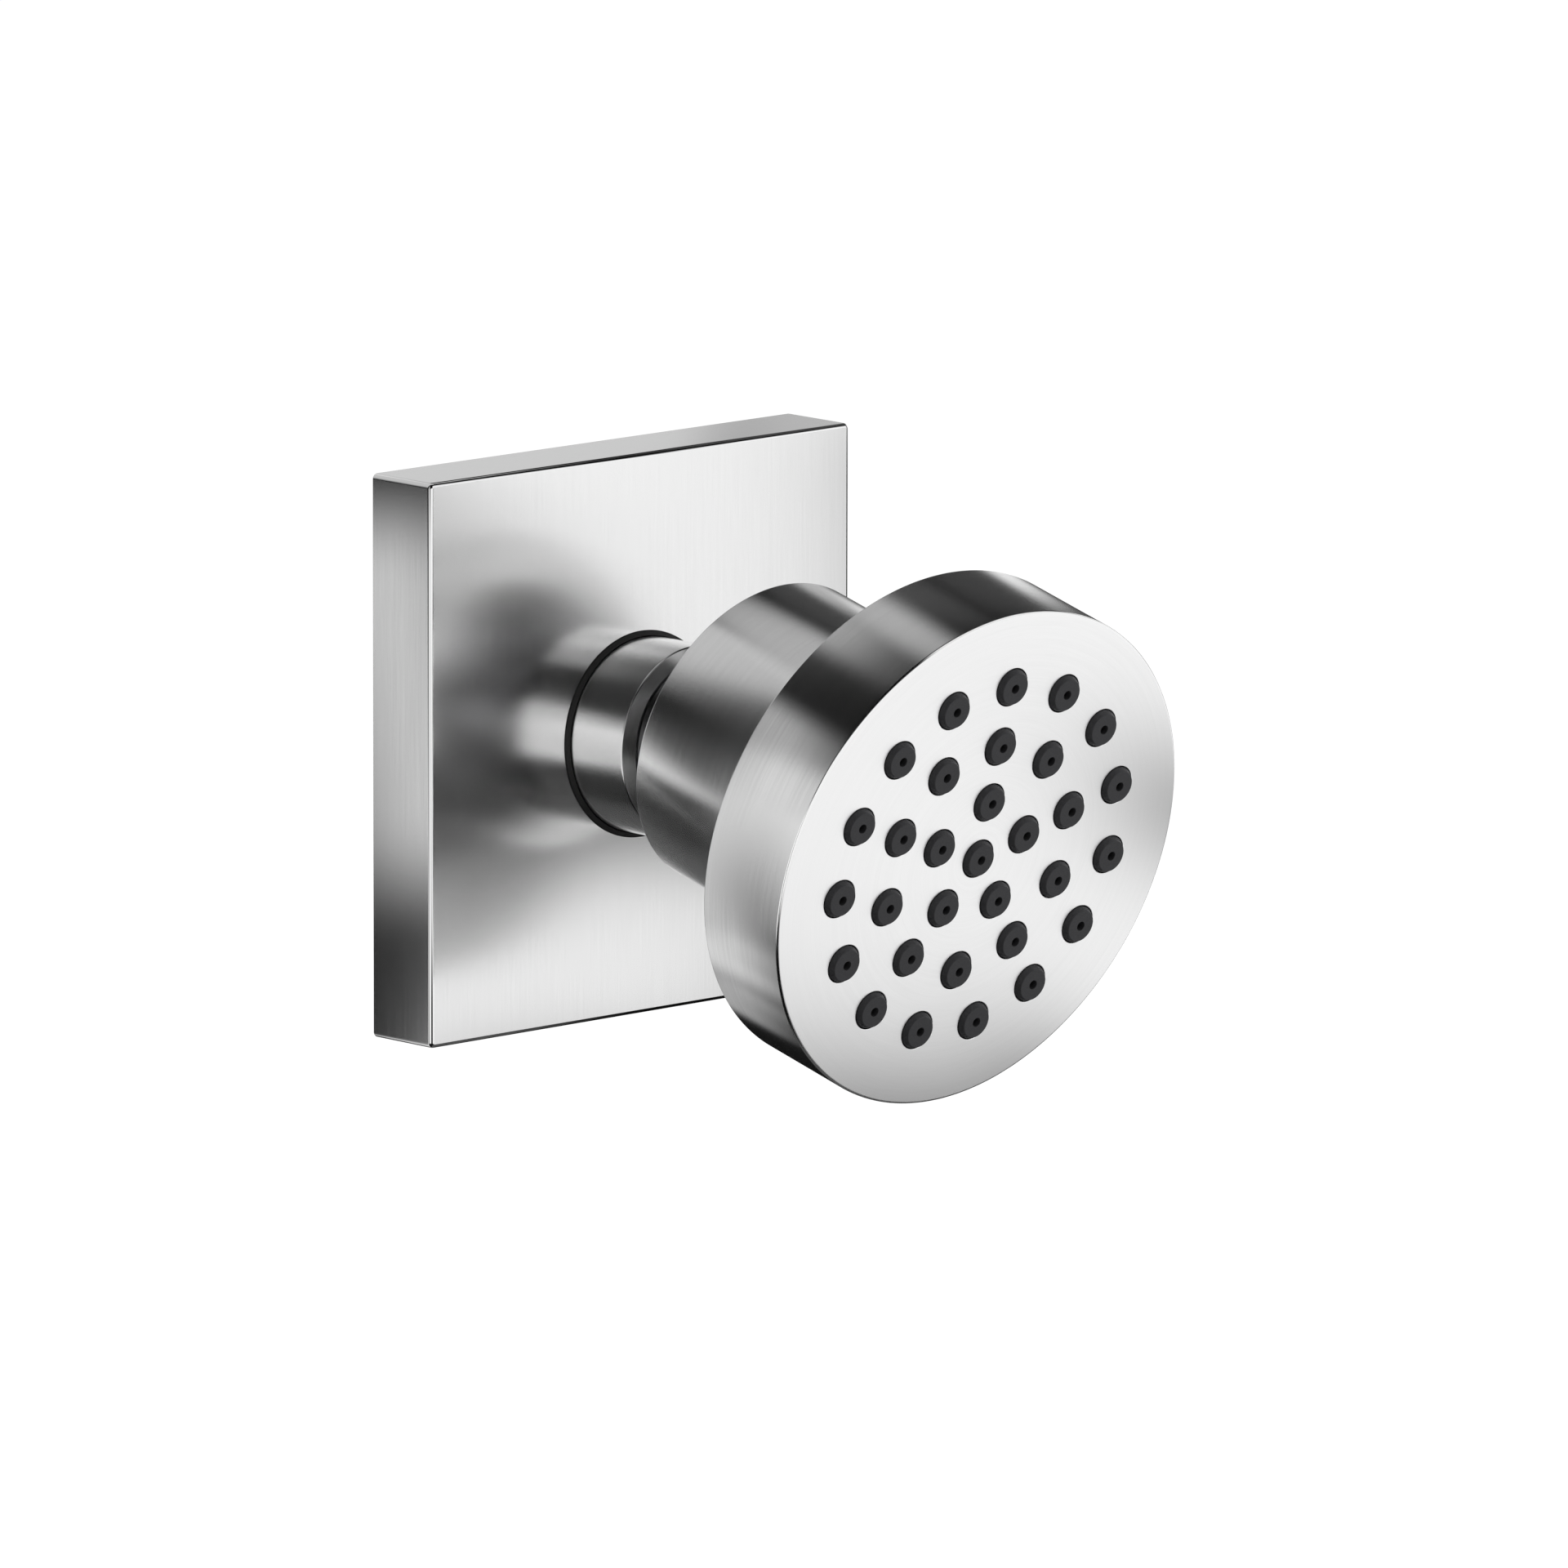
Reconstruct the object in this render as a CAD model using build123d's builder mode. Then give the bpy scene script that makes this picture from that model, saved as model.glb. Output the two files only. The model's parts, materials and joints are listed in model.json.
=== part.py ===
from build123d import *
import os
from math import asin, atan, cos, degrees, isclose, radians, sin, sqrt, tan

# Shower body jet: a square wall flange, a turned connector that screws into the wall outlet,
# a hollow ball stem, and a round spray head that swivels on the ball.
# Millimetres. The origin is the centre of the flange's back, on the wall plane.
# +X is to the right of someone facing the wall, +Y goes into the wall, +Z is up.

# Wall flange
flange_side = 60.0
flange_depth = 9.0
flange_wall = 3.0
flange_front = 3.2
flange_corner_r = 0.9
flange_edge_r = 0.5
pocket_corner_r = 2.0
pocket_floor_r = 0.5
hub_wall = 3.6
hub_setback = 2.2

# Wall gasket, a rubber cord laid in the flange's back rim
gasket_width = 1.4
gasket_depth = 1.0

# Flange seal, a rubber ring in the hub with a lip that shows round the sleeve
seal_lip = 0.5
seal_lip_proud = 0.5
seal_lip_bulge = 0.1
seal_bead = 1.6
seal_bead_length = 2.2
seal_bead_setback = 2.4

# Connector: G1/2 inlet thread, runout groove, smooth sleeve and shallow shoulder
thread_r = 10.48
thread_length = 14.0
thread_proud_of_wall = 1.0
thread_lead_in = 1.1
runout_depth = 1.3
runout_width = 2.0
sleeve_r = 10.45
sleeve_reach = 8.2
sleeve_edge = 0.15
shoulder_rise = 0.66
nose_r = 9.05
bore_mouth = 0.4
inlet_bore_r = 5.0

# Inlet strainer
strainer_r = 7.9
strainer_rim = 1.3
strainer_depth = 1.6
strainer_sheet = 0.5
strainer_hole_r = 0.6
strainer_pitch = 2.1
strainer_first_ring = 6
strainer_recess = 1.4

# Flow restrictor
restrictor_length = 6.0
restrictor_wall = 1.2
restrictor_floor = 1.5
restrictor_post_r = 1.8
restrictor_post_height = 3.4
restrictor_hole_r = 0.9
restrictor_holes = 6
restrictor_ring_play = 0.4

# Ball stem
shank_r = 7.0
shank_length = 9.8
shank_lead_in = 0.6
shank_groove_depth = 1.5
shank_groove_width = 2.2
shank_groove_setback = 2.2
stem_shoulder_length = 1.2
stem_shoulder_inset = 0.05
neck_r = 6.0
ball_r = 12.0
ball_reach = 18.29
ball_cut = 10.2
stem_bore_r = 3.5
hex_across_flats = 8.0
hex_depth = 5.0

# Swivel: how the head stands at rest, and how far it tips from straight out
head_tilt = 15.0
swivel_limit = 25.0

# Seats round the ball
seat_wall = 2.7
front_seat_angle = 48.0

# Disc spring and retaining ring
spring_height = 1.3
spring_sheet = 0.6
spring_width = 3.8
ring_depth = 3.2
ring_opening_margin = 0.6
ring_slots = 4
ring_slot_width = 2.4
ring_slot_depth = 1.4

# Head body: collar and back plate
collar_wall = 2.14
collar_back = 9.45
collar_length = 23.05
collar_edge = 0.25
plate_thickness = 2.6
skirt_wall = 2.6

# Spray cup
disc_r = 27.65
disc_depth = 11.6
cup_wall = 2.15
face_thickness = 1.6
disc_edge_r = 0.3

# Cup seal
cup_seal_section = 1.6

# Nozzle mat and distributor plate
mat_thickness = 1.4
nozzle_root_r = 2.02
nozzle_tip_r = 1.72
nozzle_tip_edge = 0.12
nozzle_proud = 0.55
nozzle_outlet_r = 0.45
nozzle_feed_r = 1.0
nozzle_lip = 0.8
distributor_thickness = 2.2
feed_hole_r = 1.0
inner_ring_r = 6.35
middle_ring_r = 12.65
outer_ring_r = 19.33
ring_adds = 5

# Clearances: turning fits, screwed or slipped fits, soft pieces drawn just clear of their seats
turning_fit = 0.06
slip_fit = 0.1
soft_fit = 0.05
lip_clearance = 0.5
neck_clearance = 0.6

# Stations along the pipe axis, measured out from the wall plane
sleeve_front = flange_depth + sleeve_reach
nose = sleeve_front + shoulder_rise
thread_back = thread_proud_of_wall - thread_length
runout_front = thread_proud_of_wall + runout_width
shank_bore_r = shank_r + turning_fit
shank_back = nose - shank_length
restrictor_front = shank_back - soft_fit
restrictor_back = restrictor_front - restrictor_length
ball_out = nose + ball_reach
flange_bore_r = sleeve_r + soft_fit + seal_lip
hub_r = flange_bore_r + seal_bead + hub_wall - seal_lip
seal_bead_front = flange_depth - seal_bead_setback
seal_bead_back = seal_bead_front - seal_bead_length
strainer_floor = thread_back + strainer_recess + strainer_depth
stem_shoulder_r = nose_r - stem_shoulder_inset
shank_groove_r = shank_r - shank_groove_depth
shank_groove_front = nose - shank_groove_setback
shank_groove_back = shank_groove_front - shank_groove_width

# Stations along the head axis, measured forward from the ball's centre
seat_ball_r = ball_r + turning_fit
seat_r = seat_ball_r + seat_wall
collar_bore_r = seat_r + turning_fit
collar_r = collar_bore_r + collar_wall
swing = radians(swivel_limit)
neck_angle = asin((neck_r + neck_clearance) / ball_r)
seat_back = ball_r * cos(neck_angle + swing)
lip_r = collar_back * tan(swing) + (neck_r + neck_clearance) / cos(swing)
lip_inner_r = sqrt(ball_r**2 - seat_back**2) + lip_clearance
neck_back = collar_back * cos(swing) + lip_r * sin(swing) + lip_clearance
ball_seal_section_r = (collar_bore_r - ball_r) / 2 - soft_fit
seal_half_gap = ball_seal_section_r + soft_fit
front_seat_end = seat_ball_r * cos(radians(front_seat_angle))
ring_back = front_seat_end + spring_height
ring_front = ring_back + ring_depth
ring_r = collar_bore_r - slip_fit
ring_opening_r = seat_ball_r * sin(radians(front_seat_angle)) + ring_opening_margin
disc_back = collar_length - collar_back
plate_front = disc_back + plate_thickness
face_front = disc_back + disc_depth
face_back = face_front - face_thickness
mat_back = face_back - mat_thickness
distributor_back = mat_back - distributor_thickness
cup_bore_r = disc_r - cup_wall
plate_r = cup_bore_r - slip_fit
skirt_inner_r = plate_r - skirt_wall
rebate_r = plate_r - cup_seal_section
rebate_back = distributor_back - cup_seal_section

# Planes and axes: a section plane has the radius along its own X and the station along its own Y
pipe_section = Plane(origin=(0, 0, 0), x_dir=(1, 0, 0), z_dir=(0, 0, -1))
pipe_axis = Axis((0, 0, 0), (0, -1, 0))
tilt = radians(head_tilt)
ball_centre = Vector(0, -ball_out, 0)
head_direction = Vector(0, -cos(tilt), -sin(tilt))
head_section = Plane(origin=ball_centre, x_dir=(1, 0, 0), z_dir=(0, sin(tilt), -cos(tilt)))
head_axis = Axis(ball_centre, head_direction)


def pipe_plane(station):
    """Plane square to the pipe axis, facing out of the wall."""
    return Plane(origin=(0, -station, 0), x_dir=(1, 0, 0), z_dir=(0, -1, 0))


def head_plane(station):
    """Plane square to the head axis, facing the way the spray goes."""
    return Plane(origin=ball_centre + head_direction * station, x_dir=(1, 0, 0), z_dir=head_direction)


def on_sphere(radius, station):
    """Section point on a sphere about the ball's centre, at a station along the axis."""
    return (sqrt(radius**2 - station**2), station)


def nozzle_spots():
    """One spot in the middle, then three rings that start straight above it and grow by the same count."""
    spots = [(0.0, 0.0)]
    for ring, ring_r in enumerate((inner_ring_r, middle_ring_r, outer_ring_r), start=1):
        count = ring * ring_adds
        for step in range(count):
            angle = radians(90 + 360 * step / count)
            spots.append((ring_r * cos(angle), ring_r * sin(angle)))
    return spots


os.makedirs("parts", exist_ok=True)

# Wall flange: a square cap, open at the back, with a hub that guides the sleeve
with BuildPart() as wall_flange:
    with BuildSketch(pipe_plane(0)):
        RectangleRounded(flange_side, flange_side, flange_corner_r)
    extrude(amount=flange_depth)
    fillet(wall_flange.faces().sort_by(Axis.Y)[0].edges(), flange_edge_r)
    pocket_side = flange_side - 2 * flange_wall
    with BuildSketch(pipe_plane(0)):
        RectangleRounded(pocket_side, pocket_side, pocket_corner_r)
    extrude(amount=flange_depth - flange_front, mode=Mode.SUBTRACT)
    pocket_floor = wall_flange.faces().filter_by(Axis.Y).sort_by(Axis.Y)[1]
    fillet(pocket_floor.edges(), pocket_floor_r)
    with BuildSketch(pipe_plane(hub_setback)):
        Circle(hub_r)
    hub_length = flange_depth - flange_front - hub_setback
    extrude(amount=hub_length)
    round_edges = wall_flange.edges().filter_by(GeomType.CIRCLE)
    hub_edges = round_edges.filter_by(lambda edge: isclose(edge.radius, hub_r))
    fillet(hub_edges.sort_by(Axis.Y)[0], pocket_floor_r)
    with BuildSketch(pipe_section):
        with BuildLine():
            Polyline(
                (0, 0),
                (flange_bore_r, 0),
                (flange_bore_r, seal_bead_back),
                (flange_bore_r + seal_bead - seal_lip, seal_bead_back),
                (flange_bore_r + seal_bead - seal_lip, seal_bead_front),
                (flange_bore_r, seal_bead_front),
                (flange_bore_r, flange_depth),
                (0, flange_depth),
                close=True,
            )
        make_face()
    revolve(axis=pipe_axis, mode=Mode.SUBTRACT)
    gasket_side = flange_side - flange_wall + gasket_width
    with BuildSketch(pipe_plane(0)):
        Rectangle(gasket_side, gasket_side)
        Rectangle(gasket_side - 2 * gasket_width, gasket_side - 2 * gasket_width, mode=Mode.SUBTRACT)
    extrude(amount=gasket_depth, mode=Mode.SUBTRACT)
wall_flange.part.label = "wall_flange"
export_step(wall_flange.part, "parts/wall_flange.step")

# Wall gasket: a square rubber cord that fills its groove in the back rim
with BuildPart() as wall_gasket:
    gasket_inner_side = gasket_side - 2 * gasket_width
    with BuildSketch(pipe_plane(0)):
        Rectangle(gasket_side - 2 * soft_fit, gasket_side - 2 * soft_fit)
        Rectangle(gasket_inner_side + 2 * soft_fit, gasket_inner_side + 2 * soft_fit, mode=Mode.SUBTRACT)
    extrude(amount=gasket_depth)
wall_gasket.part.label = "wall_gasket"
export_step(wall_gasket.part, "parts/wall_gasket.step")

# Flange seal: a bead in the hub's groove and a lip that fills the gap round the sleeve
with BuildPart() as flange_seal:
    seal_inner_r = sleeve_r + soft_fit
    seal_bead_r = flange_bore_r + seal_bead - seal_lip - soft_fit
    seal_lip_r = flange_bore_r - soft_fit
    lip_tip = flange_depth + seal_lip_proud
    with BuildSketch(pipe_section):
        with BuildLine():
            Polyline(
                (seal_inner_r, lip_tip),
                (seal_inner_r, seal_bead_back + soft_fit),
                (seal_bead_r, seal_bead_back + soft_fit),
                (seal_bead_r, seal_bead_front - soft_fit),
                (seal_lip_r, seal_bead_front - soft_fit),
                (seal_lip_r, flange_depth),
            )
            SagittaArc((seal_lip_r, flange_depth), (seal_inner_r, lip_tip), -seal_lip_bulge)
        make_face()
    revolve(axis=pipe_axis)
flange_seal.part.label = "flange_seal"
export_step(flange_seal.part, "parts/flange_seal.step")

# Connector: thread at the wall, smooth sleeve through the flange, bored right through
with BuildPart() as connector:
    runout_r = thread_r - runout_depth
    strainer_bore_r = strainer_r + slip_fit
    with BuildSketch(pipe_section):
        with BuildLine():
            Polyline(
                (strainer_bore_r, thread_back),
                (thread_r - thread_lead_in, thread_back),
                (thread_r, thread_back + thread_lead_in),
                (thread_r, thread_proud_of_wall),
                (runout_r, thread_proud_of_wall),
                (runout_r, runout_front),
                (sleeve_r, runout_front),
                (sleeve_r, sleeve_front - sleeve_edge),
                (sleeve_r - sleeve_edge, sleeve_front),
                (nose_r, nose),
                (shank_bore_r + bore_mouth, nose),
                (shank_bore_r, nose - bore_mouth),
                (shank_bore_r, restrictor_back),
                (inlet_bore_r, restrictor_back),
                (inlet_bore_r, strainer_floor),
                (strainer_bore_r, strainer_floor),
                close=True,
            )
        make_face()
    revolve(axis=pipe_axis)
connector.part.label = "connector"
export_step(connector.part, "parts/connector.step")

# Inlet strainer: a perforated sheet in a stiff rim, seated on the step in the inlet
with BuildPart() as inlet_strainer:
    strainer_back = strainer_floor - strainer_depth
    sheet_r = strainer_r - strainer_rim
    with BuildSketch(pipe_plane(strainer_back)):
        Circle(strainer_r)
        Circle(sheet_r, mode=Mode.SUBTRACT)
    extrude(amount=strainer_depth)
    with BuildSketch(pipe_plane(strainer_floor - strainer_sheet)):
        Circle(sheet_r)
    extrude(amount=strainer_sheet)
    with BuildSketch(pipe_plane(strainer_floor - strainer_sheet)):
        Circle(strainer_hole_r)
        with PolarLocations(strainer_pitch, strainer_first_ring):
            Circle(strainer_hole_r)
        with PolarLocations(2 * strainer_pitch, 2 * strainer_first_ring):
            Circle(strainer_hole_r)
    extrude(amount=strainer_sheet, mode=Mode.SUBTRACT)
inlet_strainer.part.label = "inlet_strainer"
export_step(inlet_strainer.part, "parts/inlet_strainer.step")

# Flow restrictor: a cup with a centre post and a ring of feed holes in its floor
with BuildPart() as flow_restrictor:
    restrictor_r = shank_bore_r - slip_fit
    restrictor_inner_r = restrictor_r - restrictor_wall
    restrictor_floor_front = restrictor_back + restrictor_floor
    restrictor_hole_ring_r = (restrictor_post_r + restrictor_inner_r) / 2
    with BuildSketch(pipe_section):
        with BuildLine():
            Polyline(
                (0, restrictor_back),
                (restrictor_r, restrictor_back),
                (restrictor_r, restrictor_front),
                (restrictor_inner_r, restrictor_front),
                (restrictor_inner_r, restrictor_floor_front),
                (restrictor_post_r, restrictor_floor_front),
                (restrictor_post_r, restrictor_floor_front + restrictor_post_height),
                (0, restrictor_floor_front + restrictor_post_height),
                close=True,
            )
        make_face()
    revolve(axis=pipe_axis)
    with BuildSketch(pipe_plane(restrictor_back)):
        with PolarLocations(restrictor_hole_ring_r, restrictor_holes):
            Circle(restrictor_hole_r)
    extrude(amount=restrictor_floor, mode=Mode.SUBTRACT)
flow_restrictor.part.label = "flow_restrictor"
export_step(flow_restrictor.part, "parts/flow_restrictor.step")

# Restrictor ring: a rubber ring round the restrictor's post
with BuildPart() as restrictor_ring:
    restrictor_ring_section_r = (restrictor_inner_r - restrictor_post_r) / 2 - restrictor_ring_play
    restrictor_ring_station = restrictor_floor_front + restrictor_ring_section_r + soft_fit
    with BuildSketch(pipe_section):
        with Locations((restrictor_hole_ring_r, restrictor_ring_station)):
            Circle(restrictor_ring_section_r)
    revolve(axis=pipe_axis)
restrictor_ring.part.label = "restrictor_ring"
export_step(restrictor_ring.part, "parts/restrictor_ring.step")

# Ball stem: shank in the connector, shoulder on its nose, slim neck, hollow ball with a key socket
with BuildPart() as ball_stem:
    neck_meets_ball = ball_out - sqrt(ball_r**2 - neck_r**2)
    ball_front = ball_out + ball_cut
    with BuildSketch(pipe_section):
        with BuildLine():
            Polyline(
                (sqrt(ball_r**2 - ball_cut**2), ball_front),
                (stem_bore_r, ball_front),
                (stem_bore_r, shank_back),
                (shank_r - shank_lead_in, shank_back),
                (shank_r, shank_back + shank_lead_in),
                (shank_r, shank_groove_back),
                (shank_groove_r, shank_groove_back),
                (shank_groove_r, shank_groove_front),
                (shank_r, shank_groove_front),
                (shank_r, nose),
                (stem_shoulder_r, nose),
                (stem_shoulder_r, nose + stem_shoulder_length),
                (neck_r, ball_out - neck_back),
                (neck_r, neck_meets_ball),
            )
            ThreePointArc(
                (neck_r, neck_meets_ball),
                (ball_r, ball_out),
                (sqrt(ball_r**2 - ball_cut**2), ball_front),
            )
        make_face()
    revolve(axis=pipe_axis)
    with BuildSketch(pipe_plane(ball_front)):
        RegularPolygon(radius=hex_across_flats / 2, side_count=6, major_radius=False)
    extrude(amount=-hex_depth, mode=Mode.SUBTRACT)
ball_stem.part.label = "ball_stem"
export_step(ball_stem.part, "parts/ball_stem.step")

# Stem O-ring: in the shank's groove, against the connector's bore
with BuildPart() as stem_o_ring:
    stem_ring_section_r = (shank_bore_r - shank_groove_r) / 2 - soft_fit
    with BuildSketch(pipe_section):
        with Locations(((shank_bore_r + shank_groove_r) / 2, (shank_groove_front + shank_groove_back) / 2)):
            Circle(stem_ring_section_r)
    revolve(axis=pipe_axis)
stem_o_ring.part.label = "stem_o_ring"
export_step(stem_o_ring.part, "parts/stem_o_ring.step")

# Rear seat: behind the ball, held by the collar's lip
with BuildPart() as rear_seat:
    with BuildSketch(head_section):
        with BuildLine():
            Polyline(
                on_sphere(seat_ball_r, -seat_back),
                (seat_r, -seat_back),
                (seat_r, -seal_half_gap),
                on_sphere(seat_ball_r, -seal_half_gap),
            )
            ThreePointArc(
                on_sphere(seat_ball_r, -seal_half_gap),
                on_sphere(seat_ball_r, -(seal_half_gap + seat_back) / 2),
                on_sphere(seat_ball_r, -seat_back),
            )
        make_face()
    revolve(axis=head_axis)
rear_seat.part.label = "rear_seat"
export_step(rear_seat.part, "parts/rear_seat.step")

# Ball seal: round the ball's equator, between the two seats
with BuildPart() as ball_seal:
    with BuildSketch(head_section):
        with Locations(((ball_r + collar_bore_r) / 2, 0)):
            Circle(ball_seal_section_r)
    revolve(axis=head_axis)
ball_seal.part.label = "ball_seal"
export_step(ball_seal.part, "parts/ball_seal.step")

# Front seat: in front of the ball, pushed back by the disc spring
with BuildPart() as front_seat:
    with BuildSketch(head_section):
        with BuildLine():
            Polyline(
                on_sphere(seat_ball_r, front_seat_end),
                (seat_r, front_seat_end),
                (seat_r, seal_half_gap),
                on_sphere(seat_ball_r, seal_half_gap),
            )
            ThreePointArc(
                on_sphere(seat_ball_r, seal_half_gap),
                on_sphere(seat_ball_r, (seal_half_gap + front_seat_end) / 2),
                on_sphere(seat_ball_r, front_seat_end),
            )
        make_face()
    revolve(axis=head_axis)
front_seat.part.label = "front_seat"
export_step(front_seat.part, "parts/front_seat.step")

# Disc spring: a dished washer, its outer edge on the front seat, its inner edge on the ring
with BuildPart() as disc_spring:
    spring_r = collar_bore_r - slip_fit
    spring_inner_r = spring_r - spring_width
    spring_back = front_seat_end + soft_fit
    spring_front = ring_back - soft_fit
    with BuildSketch(head_section):
        with BuildLine():
            Polyline(
                (spring_r, spring_back),
                (spring_r, spring_back + spring_sheet),
                (spring_inner_r, spring_front),
                (spring_inner_r, spring_front - spring_sheet),
                close=True,
            )
        make_face()
    revolve(axis=head_axis)
disc_spring.part.label = "disc_spring"
export_step(disc_spring.part, "parts/disc_spring.step")

# Retaining ring: screwed into the collar, with slots for a face key
with BuildPart() as retaining_ring:
    with BuildSketch(head_plane(ring_back)):
        Circle(ring_r)
        Circle(ring_opening_r, mode=Mode.SUBTRACT)
    extrude(amount=ring_depth)
    with BuildSketch(head_plane(ring_front)):
        with PolarLocations((ring_r + ring_opening_r) / 2, ring_slots):
            Rectangle(2 * (ring_r - ring_opening_r), ring_slot_width)
    extrude(amount=-ring_slot_depth, mode=Mode.SUBTRACT)
retaining_ring.part.label = "retaining_ring"
export_step(retaining_ring.part, "parts/retaining_ring.step")

# Head body: collar with an inward lip, back plate, and a threaded skirt that carries the cup
with BuildPart() as head_body:
    with BuildSketch(head_section):
        with BuildLine():
            Polyline(
                (lip_r, -collar_back),
                (collar_r - collar_edge, -collar_back),
                (collar_r, collar_edge - collar_back),
                (collar_r, disc_back),
                (plate_r, disc_back),
                (plate_r, rebate_back),
                (rebate_r, rebate_back),
                (rebate_r, distributor_back),
                (skirt_inner_r, distributor_back),
                (skirt_inner_r, plate_front),
                (collar_bore_r, plate_front),
                (collar_bore_r, -seat_back),
                (lip_inner_r, -seat_back),
                close=True,
            )
        make_face()
    revolve(axis=head_axis)
head_body.part.label = "head_body"
export_step(head_body.part, "parts/head_body.step")

# Spray cup: rim and face in one piece, with a hole for every nozzle
with BuildPart() as spray_cup:
    with BuildSketch(head_plane(disc_back)):
        Circle(disc_r)
    extrude(amount=disc_depth)
    fillet(spray_cup.faces().sort_by(head_axis)[-1].edges(), disc_edge_r)
    with BuildSketch(head_plane(disc_back)):
        Circle(cup_bore_r)
    extrude(amount=disc_depth - face_thickness, mode=Mode.SUBTRACT)
    with BuildSketch(head_plane(face_back)):
        with Locations(*nozzle_spots()):
            Circle(nozzle_root_r + slip_fit)
    extrude(amount=face_thickness, mode=Mode.SUBTRACT)
spray_cup.part.label = "spray_cup"
export_step(spray_cup.part, "parts/spray_cup.step")

# Nozzle mat: one soft moulding, a sheet behind the face with a nozzle through every hole
with BuildPart() as nozzle_mat:
    nozzle_tip = face_front + nozzle_proud
    nozzle_draft = degrees(atan((nozzle_root_r - nozzle_tip_r) / nozzle_proud))
    with BuildSketch(head_plane(mat_back)):
        Circle(cup_bore_r - slip_fit)
    extrude(amount=mat_thickness)
    with BuildSketch(head_plane(face_back)):
        with Locations(*nozzle_spots()):
            Circle(nozzle_root_r)
    extrude(amount=face_thickness)
    with BuildSketch(head_plane(face_front)):
        with Locations(*nozzle_spots()):
            Circle(nozzle_root_r)
    extrude(amount=nozzle_proud, taper=nozzle_draft)
    nozzle_tips = nozzle_mat.faces().sort_by(head_axis)[-len(nozzle_spots()):]
    fillet(nozzle_tips.edges(), nozzle_tip_edge)
    with BuildSketch(head_plane(mat_back)):
        with Locations(*nozzle_spots()):
            Circle(nozzle_feed_r)
    extrude(amount=nozzle_tip - nozzle_lip - mat_back, mode=Mode.SUBTRACT)
    with BuildSketch(head_plane(nozzle_tip)):
        with Locations(*nozzle_spots()):
            Circle(nozzle_outlet_r)
    extrude(amount=-nozzle_lip, mode=Mode.SUBTRACT)
nozzle_mat.part.label = "nozzle_mat"
export_step(nozzle_mat.part, "parts/nozzle_mat.step")

# Distributor plate: backs the mat and feeds every nozzle through a hole of its own
with BuildPart() as distributor_plate:
    with BuildSketch(head_plane(distributor_back)):
        Circle(cup_bore_r - slip_fit)
        with Locations(*nozzle_spots()):
            Circle(feed_hole_r, mode=Mode.SUBTRACT)
    extrude(amount=distributor_thickness)
distributor_plate.part.label = "distributor_plate"
export_step(distributor_plate.part, "parts/distributor_plate.step")

# Cup seal: O-ring in the rebate at the skirt's front, against the cup and the distributor plate
with BuildPart() as cup_seal:
    cup_seal_section_r = cup_seal_section / 2 - soft_fit
    with BuildSketch(head_section):
        with Locations(((rebate_r + plate_r) / 2, (rebate_back + distributor_back) / 2)):
            Circle(cup_seal_section_r)
    revolve(axis=head_axis)
cup_seal.part.label = "cup_seal"
export_step(cup_seal.part, "parts/cup_seal.step")
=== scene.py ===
"""Shower body jet: dressed pieces, finishes and studio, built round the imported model."""
import json
import math
from typing import NamedTuple

import bpy
import numpy as np
from bpy.props import FloatProperty, FloatVectorProperty, IntProperty, PointerProperty
from bpy.types import NodeSocket, Operator, Panel, PropertyGroup
from mathutils import Matrix, Vector


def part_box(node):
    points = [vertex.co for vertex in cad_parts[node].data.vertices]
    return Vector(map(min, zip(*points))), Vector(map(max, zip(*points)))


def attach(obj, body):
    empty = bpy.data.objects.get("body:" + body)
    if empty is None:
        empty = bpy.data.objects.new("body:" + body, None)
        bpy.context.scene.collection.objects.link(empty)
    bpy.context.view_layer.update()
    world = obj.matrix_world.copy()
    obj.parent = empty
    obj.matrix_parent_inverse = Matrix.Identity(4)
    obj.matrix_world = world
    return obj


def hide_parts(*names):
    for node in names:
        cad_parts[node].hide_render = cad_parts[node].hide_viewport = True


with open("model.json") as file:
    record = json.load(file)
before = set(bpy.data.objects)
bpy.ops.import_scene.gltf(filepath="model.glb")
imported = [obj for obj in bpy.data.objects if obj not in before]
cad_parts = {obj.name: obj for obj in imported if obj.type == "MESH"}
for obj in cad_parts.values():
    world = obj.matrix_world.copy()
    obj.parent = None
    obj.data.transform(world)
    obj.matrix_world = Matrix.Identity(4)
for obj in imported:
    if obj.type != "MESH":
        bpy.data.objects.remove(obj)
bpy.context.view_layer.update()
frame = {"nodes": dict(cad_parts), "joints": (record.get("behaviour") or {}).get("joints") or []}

bl_info = {
    "name": "Shower Body Jet",
    "version": (1, 0, 0),
    "blender": (4, 5, 0),
    "location": "View3D > Sidebar > Body Jet",
    "description": "Builds a wall-mounted shower body jet round its packed CAD model",
    "category": "Add Mesh",
}

MM = 0.001
MICRON = 1e-6
CORNER_STEPS = 5


def unit(vectors):
    """Each vector divided by its own length."""
    return vectors / np.linalg.norm(vectors, axis=-1, keepdims=True)


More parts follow.
